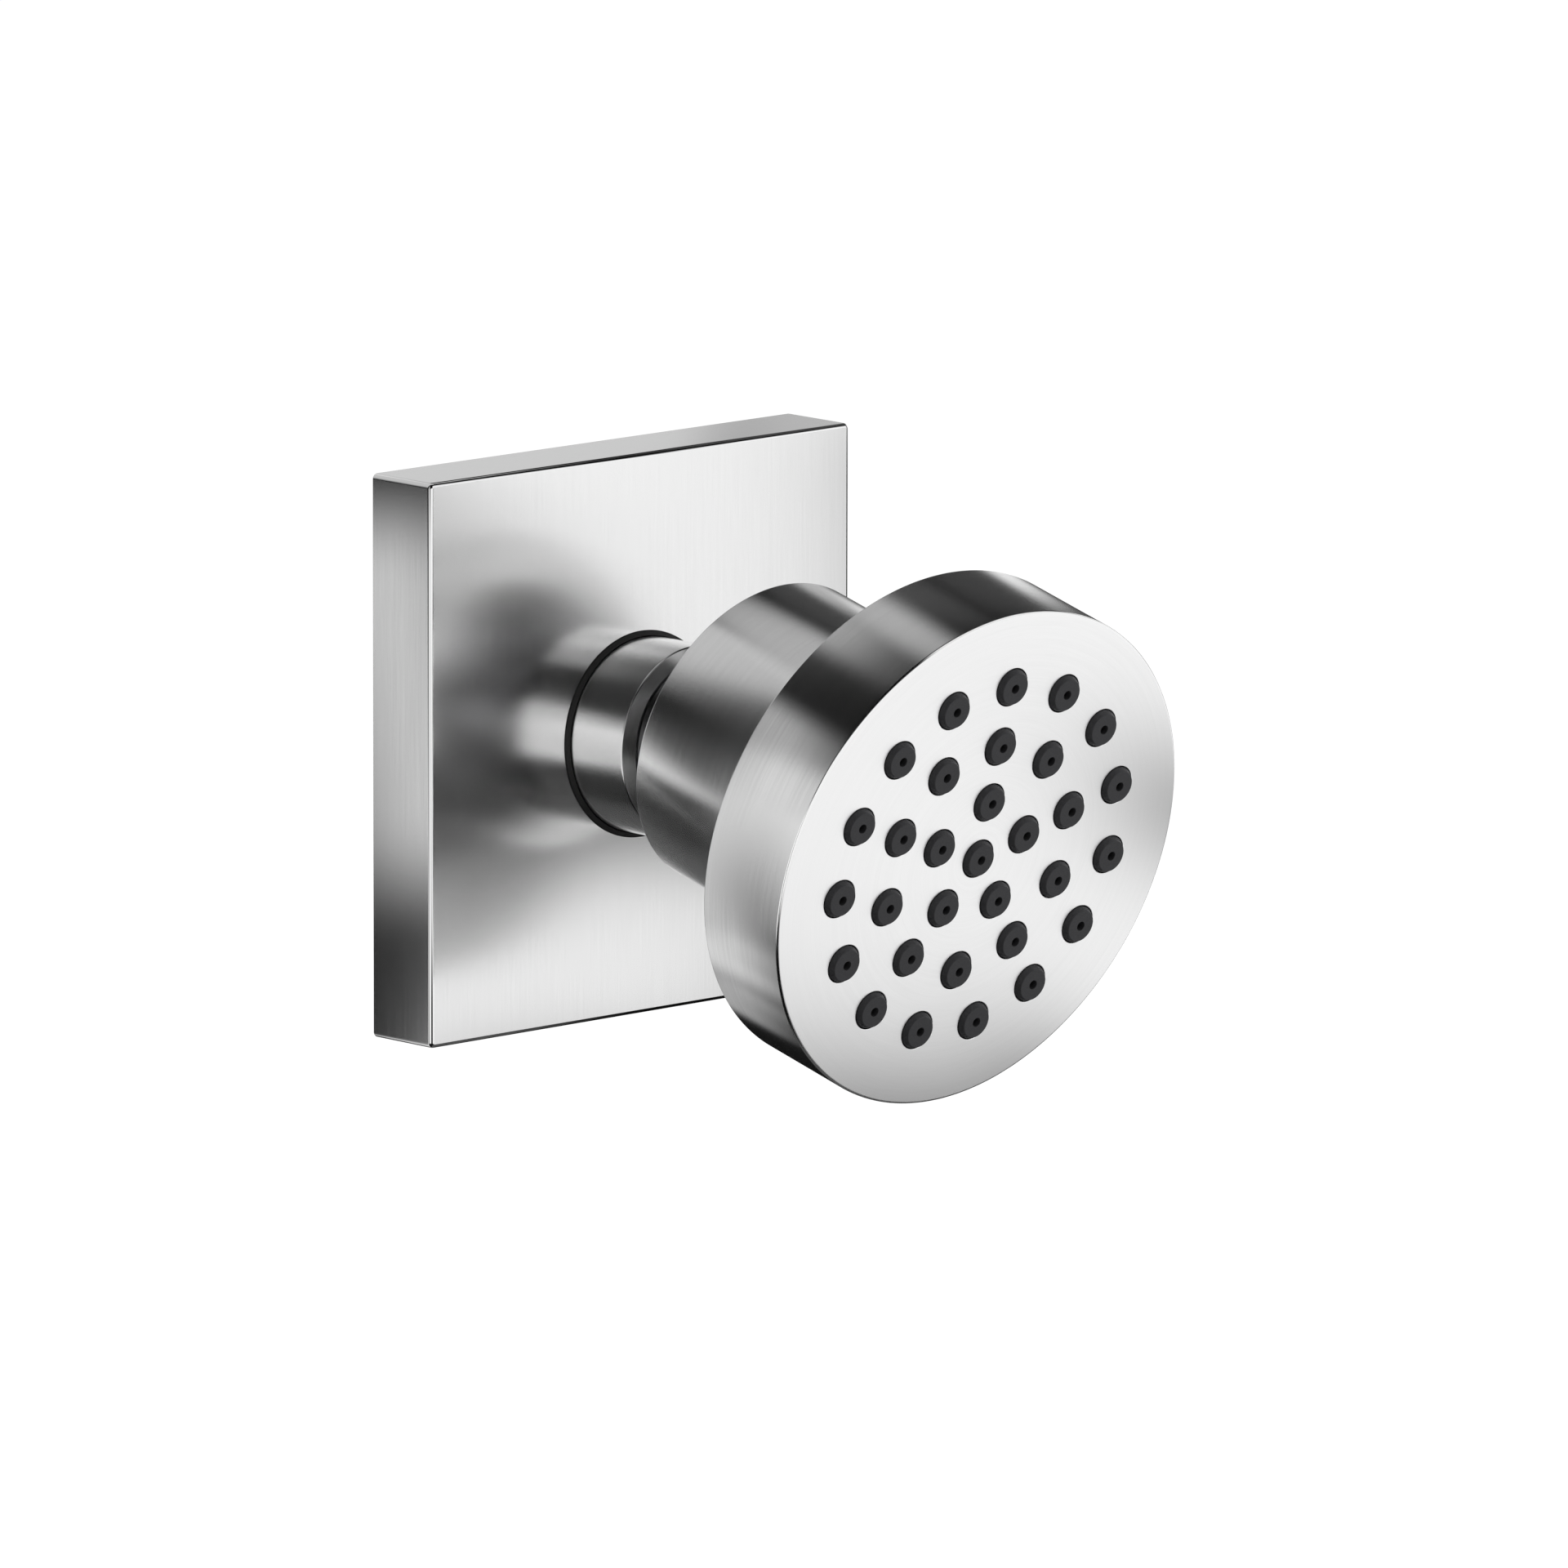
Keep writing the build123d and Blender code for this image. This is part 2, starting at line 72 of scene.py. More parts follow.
class TurningAxis:
    """A line that pieces are turned about, with the right and up directions square to it."""

    def __init__(self, origin, direction):
        self.origin = np.array(origin, float)
        self.direction = unit(np.array(direction, float))
        self.right = np.array((1.0, 0.0, 0.0))
        self.up = np.cross(self.direction, self.right)

    def turn(self, across, along):
        """Directions from right and up parts (last axis) and a part along the line."""
        sideways = across[..., :1] * self.right + across[..., 1:] * self.up
        return sideways + np.asarray(along)[..., None] * self.direction

    def place(self, across, station):
        """Points from right and up distances (last axis) and a station along the line."""
        return self.origin + self.turn(across, station)

    def measure(self, node):
        """Station and radius of every point of a CAD node."""
        mesh = frame["nodes"][node].data
        flat = np.empty(len(mesh.vertices) * 3)
        mesh.vertices.foreach_get("co", flat)
        offset = flat.reshape(-1, 3) - self.origin
        station = offset @ self.direction
        return station, np.linalg.norm(offset - station[:, None] * self.direction, axis=1)


def joint(name):
    """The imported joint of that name."""
    return next(entry for entry in frame["joints"] if entry["name"] == name)


pipe = TurningAxis((0, 0, 0), joint("swing")["axis"])
head = TurningAxis(joint("spin")["pos_m"], joint("spin")["axis"])

# Stations and radii that the CAD model already fixes
flange_low, flange_high = (np.array(corner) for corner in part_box("wall_flange"))
flange_half = (flange_high[0] - flange_low[0]) / 2
flange_depth = -flange_low[1]
connector_stations, connector_radii = pipe.measure("connector")
connector_nose = connector_stations.max()
body_stations, body_radii = head.measure("head_body")
cup_stations, cup_radii = head.measure("spray_cup")
mat_stations, mat_radii = head.measure("nozzle_mat")
spray_front = cup_stations.max()
ball_out = float((head.origin - pipe.origin) @ pipe.direction)


def size(label, description, millimetres):
    """A length property, written in millimetres and kept in metres."""
    return FloatProperty(
        name=label, description=description, default=millimetres * MM, unit="LENGTH", precision=5
    )


def spot(label, description, *millimetres):
    """A place property, written in millimetres and kept in metres."""
    return FloatVectorProperty(
        name=label, description=description, default=[value * MM for value in millimetres],
        subtype="TRANSLATION", unit="LENGTH"
    )


def angle(label, description, degrees):
    """An angle property, written in degrees."""
    return FloatProperty(
        name=label, description=description, default=math.radians(degrees), subtype="ANGLE"
    )


def colour(label, description, red, green, blue):
    """A colour property in linear light."""
    return FloatVectorProperty(
        name=label, description=description, default=(red, green, blue), subtype="COLOR", min=0.0, max=1.0
    )


def factor(label, description, value):
    """A property between 0 and 1."""
    return FloatProperty(
        name=label, description=description, default=value, min=0.0, max=1.0, subtype="FACTOR"
    )


class JetSizes(PropertyGroup):
    """Sizes of the dressed pieces that aren't measured on the CAD model."""

    flange_edge: size("Flange edge", "Rounding of the edge round the flange's front", 0.45)
    flange_corner: size("Flange corner", "Rounding of the flange's four corners", 0.6)
    flange_wall: size("Flange wall", "Thickness of the flange's sides", 3.0)
    flange_front: size("Flange front", "Thickness of the flange's front", 3.2)
    pocket_corner: size("Pocket corner", "Rounding of the pocket's corners", 2.0)
    hub_radius: size("Hub radius", "Outside of the hub behind the flange's front", 15.7)
    hub_back: size("Hub back", "Station of the hub's back, out from the wall", 2.2)
    flange_bore: size("Flange bore", "Radius of the hole for the sleeve and its seal", 11.0)
    gasket_outer: size("Gasket groove, outside", "Half side of the gasket groove's outer wall", 29.2)
    gasket_inner: size("Gasket groove, inside", "Half side of the gasket groove's inner wall", 27.8)
    gasket_depth: size("Gasket groove depth", "Depth of the gasket groove in the back rim", 1.0)
    bead_radius: size("Bead groove", "Radius of the groove that holds the seal's bead", 12.1)
    bead_front: size("Bead groove front", "Station of the bead groove's front wall", 6.6)
    bead_back: size("Bead groove back", "Station of the bead groove's back wall", 4.4)
    seal_gap: size("Seal gap", "Clearance round the soft seal", 0.05)
    seal_proud: size("Seal lip", "How far the seal's lip stands out of the flange", 0.5)
    sleeve_radius: size("Sleeve radius", "Smooth part of the connector", 10.45)
    sleeve_front: size("Sleeve front", "Station where the sleeve's shoulder starts", 17.2)
    sleeve_edge: size("Sleeve edge", "Rounding at the sleeve's front", 0.22)
    nose_radius: size("Nose radius", "Outside of the connector's front end", 9.05)
    nose_edge: size("Nose edge", "Rounding at the connector's front end", 0.2)
    runout_radius: size("Runout radius", "Bottom of the thread's runout groove", 9.18)
    runout_back: size("Runout back", "Station where the thread ends", 1.0)
    runout_front: size("Runout front", "Station where the sleeve starts", 3.0)
    lead_in: size("Thread lead-in", "Chamfer at the thread's start", 1.1)
    thread_pitch: size("Thread pitch", "Advance of the pipe thread in one turn", 1.814)
    thread_depth: size("Thread depth", "Height of the pipe thread's profile", 1.162)
    shank_bore: size("Shank bore", "Bore that takes the stem's shank", 7.06)
    shank_bore_back: size("Shank bore floor", "Station of the shank bore's floor", 2.01)
    inlet_bore: size("Inlet bore", "Water way behind the restrictor", 5.0)
    strainer_bore: size("Strainer bore", "Recess for the strainer", 8.0)
    strainer_floor: size("Strainer floor", "Station of the strainer recess's floor", -10.0)
    shank_radius: size("Shank radius", "Stem's shank in the connector", 7.0)
    shank_back: size("Shank back", "Station of the shank's end", 8.06)
    shank_groove: size("Shank groove", "Radius at the bottom of the O-ring groove", 5.5)
    shank_groove_back: size("Shank groove back", "Station of the O-ring groove's back wall", 13.46)
    shank_groove_front: size("Shank groove front", "Station of the O-ring groove's front wall", 15.66)
    stem_shoulder: size("Stem shoulder", "Radius of the stem's shoulder", 9.0)
    shoulder_length: size("Shoulder length", "Length of the stem's shoulder", 1.2)
    shoulder_edge: size("Shoulder edge", "Rounding at the back of the stem's shoulder", 0.4)
    neck_radius: size("Neck radius", "Stem's neck behind the ball", 6.0)
    ball_radius: size("Ball radius", "Ball that the head swivels on", 12.0)
    ball_cut: size("Ball cut", "From the ball's centre to its flat front", 10.2)
    stem_bore: size("Stem bore", "Water way through the stem", 3.5)
    hex_across: size("Key socket", "Width across the flats of the key socket", 8.0)
    hex_depth: size("Key socket depth", "Depth of the key socket", 5.0)
    neck_back: size("Neck back", "From the ball's centre back to where the neck widens", 14.0)
    bore_mouth: size("Bore mouth", "Chamfer at the shank bore's mouth", 0.4)
    shank_lead_in: size("Shank lead-in", "Chamfer at the shank's end", 0.6)
    collar_edge: size("Collar edge", "Rounding at the collar's back", 0.15)
    collar_bore: size("Collar bore", "Bore for the seats and the retaining ring", 14.82)
    lip_inner: size("Lip, inside", "Radius of the collar's lip where the rear seat rests", 10.722)
    seat_back: size("Seat back", "From the ball's centre back to where the rear seat rests", 6.286)
    plate_front: size("Plate front", "Station of the back plate's front, from the ball's centre", 16.2)
    rebate_back: size("Rebate back", "Station of the cup seal's rebate, from the ball's centre", 18.4)
    rebate_radius: size("Rebate radius", "Inside of the cup seal's rebate", 23.8)
    skirt_bore: size("Skirt bore", "Inside of the skirt in front of the back plate", 22.8)
    cup_edge: size("Rim edge", "Rounding between the rim and the spray face", 0.3)
    cup_wall: size("Rim wall", "Thickness of the rim", 2.15)
    face_thickness: size("Face thickness", "Thickness of the spray face", 1.6)
    nozzle_hole: size("Nozzle hole", "Radius of the holes in the spray face", 2.12)
    nozzle_hole_edge: size("Nozzle hole edge", "Rounding of the holes' edges", 0.1)
    mat_thickness: size("Mat thickness", "Sheet of the nozzle mat", 1.4)
    nozzle_root: size("Nozzle root", "Radius of a nozzle in the face's hole", 2.02)
    nozzle_tip: size("Nozzle tip", "Radius of a nozzle's end", 1.72)
    nozzle_edge: size("Nozzle edge", "Rounding of a nozzle's end", 0.12)
    nozzle_outlet: size("Nozzle outlet", "Radius of the hole that the water leaves by", 0.5)
    nozzle_feed: size("Nozzle feed", "Radius of the feed bore behind the outlet", 1.0)
    nozzle_lip: size("Nozzle lip", "Length of the outlet", 0.8)
    small_edge: size("Small edge", "Rounding of edges that are only deburred", 0.08)
    first_ring: size("First ring", "Radius of the inner ring of nozzles", 6.35)
    second_ring: size("Second ring", "Radius of the middle ring of nozzles", 12.65)
    third_ring: size("Third ring", "Radius of the outer ring of nozzles", 19.33)
    ring_step: IntProperty(name="Ring step", description="Nozzles that each ring adds", default=5, min=3)


class JetFinish(PropertyGroup):
    """Colours and gloss of the finishes."""

    satin: colour("Satin metal", "Brushed metal of the flange, connector and head", 0.93, 0.93, 0.93)
    chrome: colour("Plated ball", "Polished plating of the ball and stem", 0.50, 0.50, 0.51)
    rubber: colour("Rubber", "Seals and gasket", 0.018, 0.018, 0.018)
    silicone: colour("Silicone", "Nozzle mat", 0.034, 0.034, 0.036)
    acetal: colour("Acetal", "Seats round the ball", 0.78, 0.77, 0.72)
    grey_plastic: colour("Grey plastic", "Distributor plate", 0.22, 0.23, 0.24)
    white_plastic: colour("White plastic", "Flow restrictor", 0.72, 0.72, 0.69)
    steel: colour("Strainer steel", "Perforated strainer", 0.58, 0.58, 0.57)
    spring: colour("Spring steel", "Disc spring", 0.42, 0.42, 0.43)
    brass: colour("Brass", "Retaining ring", 0.72, 0.53, 0.23)
    flat_roughness: factor("Flange roughness", "Blur of reflections in the flange", 0.22)
    edge_polish: factor("Edge polish", "Blur on the flange's front edge, against the flange's own", 0.25)
    flat_stretch: factor("Flange stretch", "How far the flange's brushing stretches reflections", 0.7)
    flat_lines: factor("Flange brush lines", "How far the flange's brush lines darken it", 0.015)
    turned_roughness: factor("Turned roughness", "Blur of reflections in the turned pieces", 0.17)
    turned_stretch: factor("Turned stretch", "How far the turned pieces' brushing stretches reflections", 0.6)
    turned_lines: factor("Turned brush lines", "How far the turned pieces' brush lines darken them", 0.035)
    face_roughness: factor("Face roughness", "Blur of reflections in the spray face", 0.33)
    # Painted shade: this darkens the colour of the connector's shoulder in front of the sleeve, where shade
    # falls next to the collar
    painted_shoulder_shade: factor("Shoulder shade", "Brightness of the connector's unbrushed shoulder", 0.5)
    # Painted shade: this darkens the colour of the stem's shoulder and neck behind the ball, in the shadowed
    # gap between the connector and the collar
    painted_neck_shade: factor("Neck shade", "Brightness of the stem's dull neck, against its ball", 0.35)


class JetStudio(PropertyGroup):
    """Camera and studio."""

    azimuth: angle("Azimuth", "Camera, round from the front", -43.0805)
    elevation: angle("Elevation", "Camera, up from level", 10.0607)
    roll: angle("Roll", "Camera, turned about its line of sight", 0.104)
    distance: size("Distance", "Camera to the point it looks at", 2142.87)
    aim: spot("Aim", "Point at the middle of the picture", 14.70, -15.28, -6.32)
    lens: FloatProperty(name="Lens", description="Focal length in mm, on a 36 mm sensor", default=465.0)
    floor_drop: size("Floor", "How far the floor lies below the jet's axis", 260.0)
    cloth_radius: size("Cloth", "Distance from the black cloth's middle to the cloth", 80.0)
    cloth_middle: spot("Cloth middle", "Middle of the black cloth", 0.0, -30.0, 0.0)
    cloth_edge: angle("Cloth edge", "Width of the soft edge round every opening", 10.0)
    room_light: factor("Room light", "Light of the white room on matt surfaces", 0.4)
    lamp_light: factor("Lamp light", "Light of a lamp on a matt surface that faces it", 0.3)


class Opening(NamedTuple):
    """Opening in the black cloth, in degrees round from the front and up from level.

    Its lean is how far it shifts round for each degree up, and its share is how much of the room shows.
    """

    left: float
    right: float
    low: float
    high: float
    lean: float
    share: float


# Openings that the metal sees the white room through
openings = {
    "front": Opening(-59, 40, -25, 22, 0.0, 0.98),
    "right": Opening(35, 74, -14, 22, 0.0, 0.98),
    "front, low": Opening(-22, 38, -44, -21, 0.1, 0.98),
    "right, low": Opening(33, 70, -38, -21, 0.1, 0.98),
    "front, high": Opening(-5, 56, -8, 55, -0.44, 0.86),
    "right, high": Opening(58, 85, 16, 37, 0.0, 0.96),
    "left": Opening(-102, -67, -32, 13, 0.24, 0.98),
    "left, high": Opening(-101, -92, 13, 43, -0.1, 0.64),
    "left, low strip": Opening(-118, -107, -43, 27, 0.51, 0.77),
    "left behind": Opening(-138, -128, -14, 14, -0.2, 0.83),
    "left behind, low": Opening(-152, -131, -51, -38, 0.6, 0.78),
    "wall side, low": Opening(-187, -152, -55, -49, 0.0, 0.62),
    "left behind, overhead": Opening(-157, -116, 26, 69, 0.46, 0.55),
    "right behind, high": Opening(105, 122, 16, 32, -0.38, 0.95),
    "wall side, right": Opening(120, 141, 18, 38, 0.0, 0.45),
    "right, dim": Opening(92, 136, -8, 60, 0.0, 0.05),
    "right, overhead": Opening(85, 130, 64, 84, 0.0, 0.07),
    "wall side": Opening(139, 202, -12, 47, 0.24, 0.60),
    "overhead": Opening(-190, 190, 82, 100, 0.0, 0.46),
    "overhead, behind": Opening(128, 273, 67, 82, 0.52, 0.46),
    "front, below": Opening(-25, 60, -64, -44, 0.0, 0.08),
    "below": Opening(-190, 190, -99, -66, 0.0, 0.08),
}


def eased(value):
    """Smooth step from 0 to 1."""
    value = np.clip(value, 0, 1)
    return value * value * (3 - 2 * value)


def heading(turns):
    """Directions at these angles, as right and up parts on a last axis."""
    return np.stack((np.cos(turns), np.sin(turns)), axis=-1)


def round_angles(count):
    """Angles evenly round a circle."""
    return np.linspace(0, 2 * np.pi, count, endpoint=False)


def rounded(rows, steps=CORNER_STEPS):
    """Closed section with its corners rounded, as points and outward normals.

    A row is a corner's reach, its station and its rounding. Every corner gives way to an arc that touches
    both of its edges. The arc starts radius * tan(half the turn) before the corner, its centre lies a radius
    inside that point, and its normal turns evenly from the first edge's to the second's. The corners run
    with the solid on their left.
    """
    table = np.array(rows, float)
    corner, radius = table[:, :2], table[:, 2:3]
    into = unit(corner - np.roll(corner, 1, axis=0))
    leaving = np.roll(into, -1, axis=0)
    crossed = into[:, 0] * leaving[:, 1] - into[:, 1] * leaving[:, 0]
    turn = np.arctan2(crossed, (into * leaving).sum(axis=1))[:, None]
    side = np.sign(turn)
    first_normal = np.stack((into[:, 1], -into[:, 0]), axis=1)
    centre = corner - into * radius * np.tan(np.abs(turn) / 2) - side * radius * first_normal
    swept = turn * np.linspace(0, 1, steps)
    cosine, sine = np.cos(swept), np.sin(swept)
    normal = np.stack((
        first_normal[:, :1] * cosine - first_normal[:, 1:] * sine,
        first_normal[:, :1] * sine + first_normal[:, 1:] * cosine,
    ), axis=2)
    points = centre[:, None] + (side * radius)[:, None] * normal
    return points.reshape(-1, 2), normal.reshape(-1, 2)


def open_line(rows, away, steps=CORNER_STEPS):
    """Rounded line whose first and last edges run level, on the side that away gives.

    Two corners that far off close the section for the rounding, and are then dropped.
    """
    table = np.array(rows, float)
    closing = table[[-1, 0]] + (away, 0.0, 0.0)
    line, normals = rounded(np.concatenate((closing, table)), steps)
    return line[2 * steps:], normals[2 * steps:]


def grid_quads(rows, columns, close_rows=True):
    """Quads of a grid that closes round its columns, and round its rows too if asked, facing outwards."""
    spans = rows if close_rows else rows - 1
    row, column = np.meshgrid(np.arange(spans), np.arange(columns), indexing="ij")
    next_row, next_column = (row + 1) % rows, (column + 1) % columns
    quads = np.stack((
        row * columns + column, row * columns + next_column,
        next_row * columns + next_column, next_row * columns + column,
    ), axis=2)
    return quads.reshape(-1, 4)


def carried(axis, section, normals, out):
    """Points and normals of a section carried round an axis.

    A point lies at radius * direction across the axis and at its own station along it.
    """
    points = axis.place(section[:, :1, None] * out, np.repeat(section[:, 1:], len(out), axis=1))
    directions = axis.turn(normals[:, :1, None] * out, np.repeat(normals[:, 1:], len(out), axis=1))
    return points, directions


def turned(axis, section, normals, count=240, reshape=None):
    """Surface of a closed section carried once round an axis.

    A reshape function may change the radii, given as rows by directions. It names the rows that it changes,
    and their normals then come from the changed surface.
    """
    around = round_angles(count)
    out = heading(around)
    points, directions = carried(axis, section, normals, out)
    if reshape is not None:
        radius = np.repeat(section[:, :1], count, axis=1)
        station = np.repeat(section[:, 1:], count, axis=1)
        changed, rows = reshape(radius, station, around)
        points = axis.place(changed[..., None] * out, station)
        along = np.gradient(points, axis=0)
        across = np.roll(points, -1, axis=1) - np.roll(points, 1, axis=1)
        directions = np.where(rows[:, None, None], unit(np.cross(across, along)), directions)
    return points.reshape(-1, 3), directions.reshape(-1, 3), grid_quads(len(section), count)


def square_loop(side_steps=48, corner_steps=8):
    """Two unit loops that make a rounded square: the sharp square, and the directions square to its outline.

    A rounded square of half side q and corner radius c is (q - c) * square + c * direction.
    """
    along = np.linspace(-1, 1, side_steps)
    swing = np.linspace(0, np.pi / 2, corner_steps)[1:-1]
    side = np.stack((np.ones_like(along), along), axis=1)
    outline = np.concatenate((side, np.ones((len(swing), 2))))
    direction = np.concatenate((np.tile((1.0, 0.0), (side_steps, 1)), heading(swing)))
    quarter = np.array(((0.0, 1.0), (-1.0, 0.0)))
    turns = [np.linalg.matrix_power(quarter, power) for power in range(4)]
    return tuple(np.concatenate([loop @ turn for turn in turns]) for loop in (outline, direction))


def sector_middles(count):
    """Angles of the middles of equal sectors, the first straight up."""
    return np.pi / 2 + np.arange(count) * 2 * np.pi / count


def sector_outline(count, inner, outer, inner_steps, outer_steps, radial_steps):
    """Outlines of the equal sectors of a ring band, as count by points by right and up.

    Each runs along the outer arc, in along one side, back along the inner arc and out along the other.
    """
    half = np.pi / count
    arc_out = np.linspace(-half, half, outer_steps, endpoint=False)
    arc_in = np.linspace(half, -half, inner_steps, endpoint=False)
    inwards = np.linspace(outer, inner, radial_steps, endpoint=False)
    outwards = np.linspace(inner, outer, radial_steps, endpoint=False)
    swept = np.concatenate((arc_out, np.full(radial_steps, half), arc_in, np.full(radial_steps, -half)))
    radius = np.concatenate((np.full(outer_steps, outer), inwards, np.full(inner_steps, inner), outwards))
    return radius[:, None] * heading(sector_middles(count)[:, None] + swept)


def pierced(axis, rings, hole, rim):
    """Disc with a hole in its middle and in every sector of its rings.

    A ring's sector is a grid: its outline on the front, the hole's section carried round the hole, then its
    outline on the back. Every hole point lies in the direction of its outline point, seen from the hole's
    middle. The rim's section is carried round the outside, and the edges that meet are merged.
    """
    hole_line, hole_normals = hole
    rim_line, rim_normals = rim
    front, back = hole_line[0, 1], hole_line[-1, 1]
    facing_front, facing_back = ((0.0, 1.0),), ((0.0, -1.0),)
    radii = np.array([radius for radius, count in rings])
    halfway = (radii[1:] + radii[:-1]) / 2
    between = np.concatenate((radii[:1] / 2, halfway, radii[-1:] + np.diff(radii[-2:]) / 2))
    # Points on the circle inside the first ring and on the one outside each ring, and on a sector's sides
    arc_steps = (120, 120, 180, 360)
    side_steps = 12
    cells = [(heading(round_angles(arc_steps[0]))[None] * between[0], np.zeros((1, 2)))]
    for index, (radius, count) in enumerate(rings):
        outline = sector_outline(count, between[index], between[index + 1],
                                 arc_steps[index] // count, arc_steps[index + 1] // count, side_steps)
        cells.append((outline, radius * heading(sector_middles(count))))
    points, normals, quads, total = [], [], [], 0
    line_station = np.concatenate(((front,), hole_line[:, 1], (back,)))
    line_normal = np.concatenate((facing_front, hole_normals, facing_back))
    for outline, middle in cells:
        count, samples = outline.shape[:2]
        towards = unit(outline - middle[:, None])[:, None]
        loops = middle[:, None, None] + hole_line[None, :, None, :1] * towards
        across = np.concatenate((outline[:, None], loops, outline[:, None]), axis=1)
        shape = across.shape[:3]
        station = np.broadcast_to(line_station[None, :, None], shape)
        points.append(axis.place(across, station).reshape(-1, 3))
        along = np.broadcast_to(line_normal[None, :, None, 1], shape)
        normals.append(axis.turn(line_normal[None, :, None, :1] * towards, along).reshape(-1, 3))
        one = grid_quads(shape[1], samples, close_rows=False)
        offsets = total + np.arange(count)[:, None, None] * shape[1] * samples
        quads.append((one[None] + offsets).reshape(-1, 4))
        total += count * shape[1] * samples
    edge = between[-1]
    line = np.concatenate((((edge, back),), rim_line, ((edge, front),)))
    line_normal = np.concatenate((facing_back, rim_normals, facing_front))
    rim_points, rim_directions = carried(axis, line, line_normal, heading(round_angles(arc_steps[-1])))
    points.append(rim_points.reshape(-1, 3))
    normals.append(rim_directions.reshape(-1, 3))
    quads.append(grid_quads(len(line), arc_steps[-1], close_rows=False) + total)
    return merged(np.concatenate(points), np.concatenate(normals), np.concatenate(quads))


def merged(points, normals, quads, grain=1e-8):
    """The same surface with points that lie in one place made one."""
    cells = np.round(points / grain).astype(np.int64)
    kept, inverse = np.unique(cells, axis=0, return_index=True, return_inverse=True)[1:]
    return points[kept], normals[kept], inverse.reshape(-1)[quads]


def add_object(name, data):
    """A new object in the scene that holds this data."""
    thing = bpy.data.objects.new(name, data)
    bpy.context.scene.collection.objects.link(thing)
    return thing


def make_piece(name, surface, body, slot, finish, *nodes):
    """Mesh object from points, normals and quads, riding on a body and standing for its CAD nodes."""
    points, normals, quads = surface
    mesh = bpy.data.meshes.new(name)
    mesh.vertices.add(len(points))
    mesh.vertices.foreach_set("co", points.astype(np.float32).ravel())
    mesh.loops.add(quads.size)
    mesh.loops.foreach_set("vertex_index", quads.astype(np.int32).ravel())
    mesh.polygons.add(len(quads))
    mesh.polygons.foreach_set("loop_start", np.arange(0, quads.size, 4, dtype=np.int32))
    mesh.polygons.foreach_set("use_smooth", np.ones(len(quads), bool))
    mesh.update(calc_edges=True)
    mesh.normals_split_custom_set_from_vertices(normals.astype(np.float32))
    mesh.materials.append(finish_named(finish))
    piece = add_object(name, mesh)
    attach(piece, body)
    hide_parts(*nodes)


def flange_surface(s):
    """Flange as a closed section carried round a loop that is a rounded square outside and a circle inside.

    The section gives every loop its half side or radius, its station and its normal. A square loop is
    (q - c) * square + c * direction with a corner radius c that follows q. A circular one is q * ring. The
    ring's directions are the square's own, leaned a little so that those at a corner stay apart.
    """
    pocket = flange_half - s.flange_wall
    floor = flange_depth - s.flange_front
    edge, sharp, floor_edge, least_corner = s.small_edge, 0.06 * MM, 0.5 * MM, 0.02 * MM
    bore, bead = s.flange_bore, s.bead_radius
    square = (
        (flange_half, flange_depth, s.flange_edge, s.flange_corner),
        (flange_half, 0.0, edge, s.flange_corner),
        (s.gasket_outer, 0.0, sharp, sharp),
        (s.gasket_outer, s.gasket_depth, sharp, sharp),
        (s.gasket_inner, s.gasket_depth, sharp, sharp),
        (s.gasket_inner, 0.0, sharp, sharp),
        (pocket, 0.0, edge, s.pocket_corner),
        (pocket, floor, floor_edge, s.pocket_corner),
    )
    round_part = (
        (s.hub_radius, floor, floor_edge, 0.0),
        (s.hub_radius, s.hub_back, edge, 0.0),
        (bore, s.hub_back, edge, 0.0),
        (bore, s.bead_back, sharp, 0.0),
        (bead, s.bead_back, sharp, 0.0),
        (bead, s.bead_front, sharp, 0.0),
        (bore, s.bead_front, sharp, 0.0),
        (bore, flange_depth, edge, 0.0),
    )
    edge_steps = 8
    table = np.array((square + round_part)[::-1])
    section, normal = rounded(table[:, :3], edge_steps)
    reach, station = section[:, :1, None], section[:, 1]
    corner_q = np.repeat(table[:, 0], edge_steps)[:, None, None]
    corner_r = np.repeat(table[:, 3], edge_steps)[:, None, None]
    is_square = corner_r > 0
    corner_r = np.maximum(corner_r + reach - corner_q, least_corner)
    outline, direction = square_loop()
    corner_lean = 0.03
    ring = unit((1 - corner_lean) * outline + corner_lean * direction)
    across = np.where(is_square, (reach - corner_r) * outline + corner_r * direction, reach * ring)
    facing = np.where(is_square, direction, ring)
    count = len(outline)
    points = pipe.place(across, np.repeat(station[:, None], count, axis=1))
    normals = pipe.turn(normal[:, :1, None] * facing, np.repeat(normal[:, 1:], count, axis=1))
    return points.reshape(-1, 3), normals.reshape(-1, 3), grid_quads(len(section), count)


def seal_surface(s):
    """Flange seal: bead in the hub's groove, lip round the sleeve, turned about the pipe."""
    inner = s.sleeve_radius + s.seal_gap
    lip = s.flange_bore - s.seal_gap
    bead = s.bead_radius - s.seal_gap
    back, front = s.bead_back + s.seal_gap, s.bead_front - s.seal_gap
    bead_edge, inside_edge, lip_edge, tip_edge = 0.12 * MM, 0.05 * MM, 0.2 * MM, 0.08 * MM
    lip_foot = 0.1 * MM
    return turned(pipe, *rounded((
        (inner, back, bead_edge),
        (bead, back, bead_edge),
        (bead, front, bead_edge),
        (lip, front, inside_edge),
        (lip, flange_depth + lip_foot, lip_edge),
        (inner, flange_depth + s.seal_proud, tip_edge),
    )))


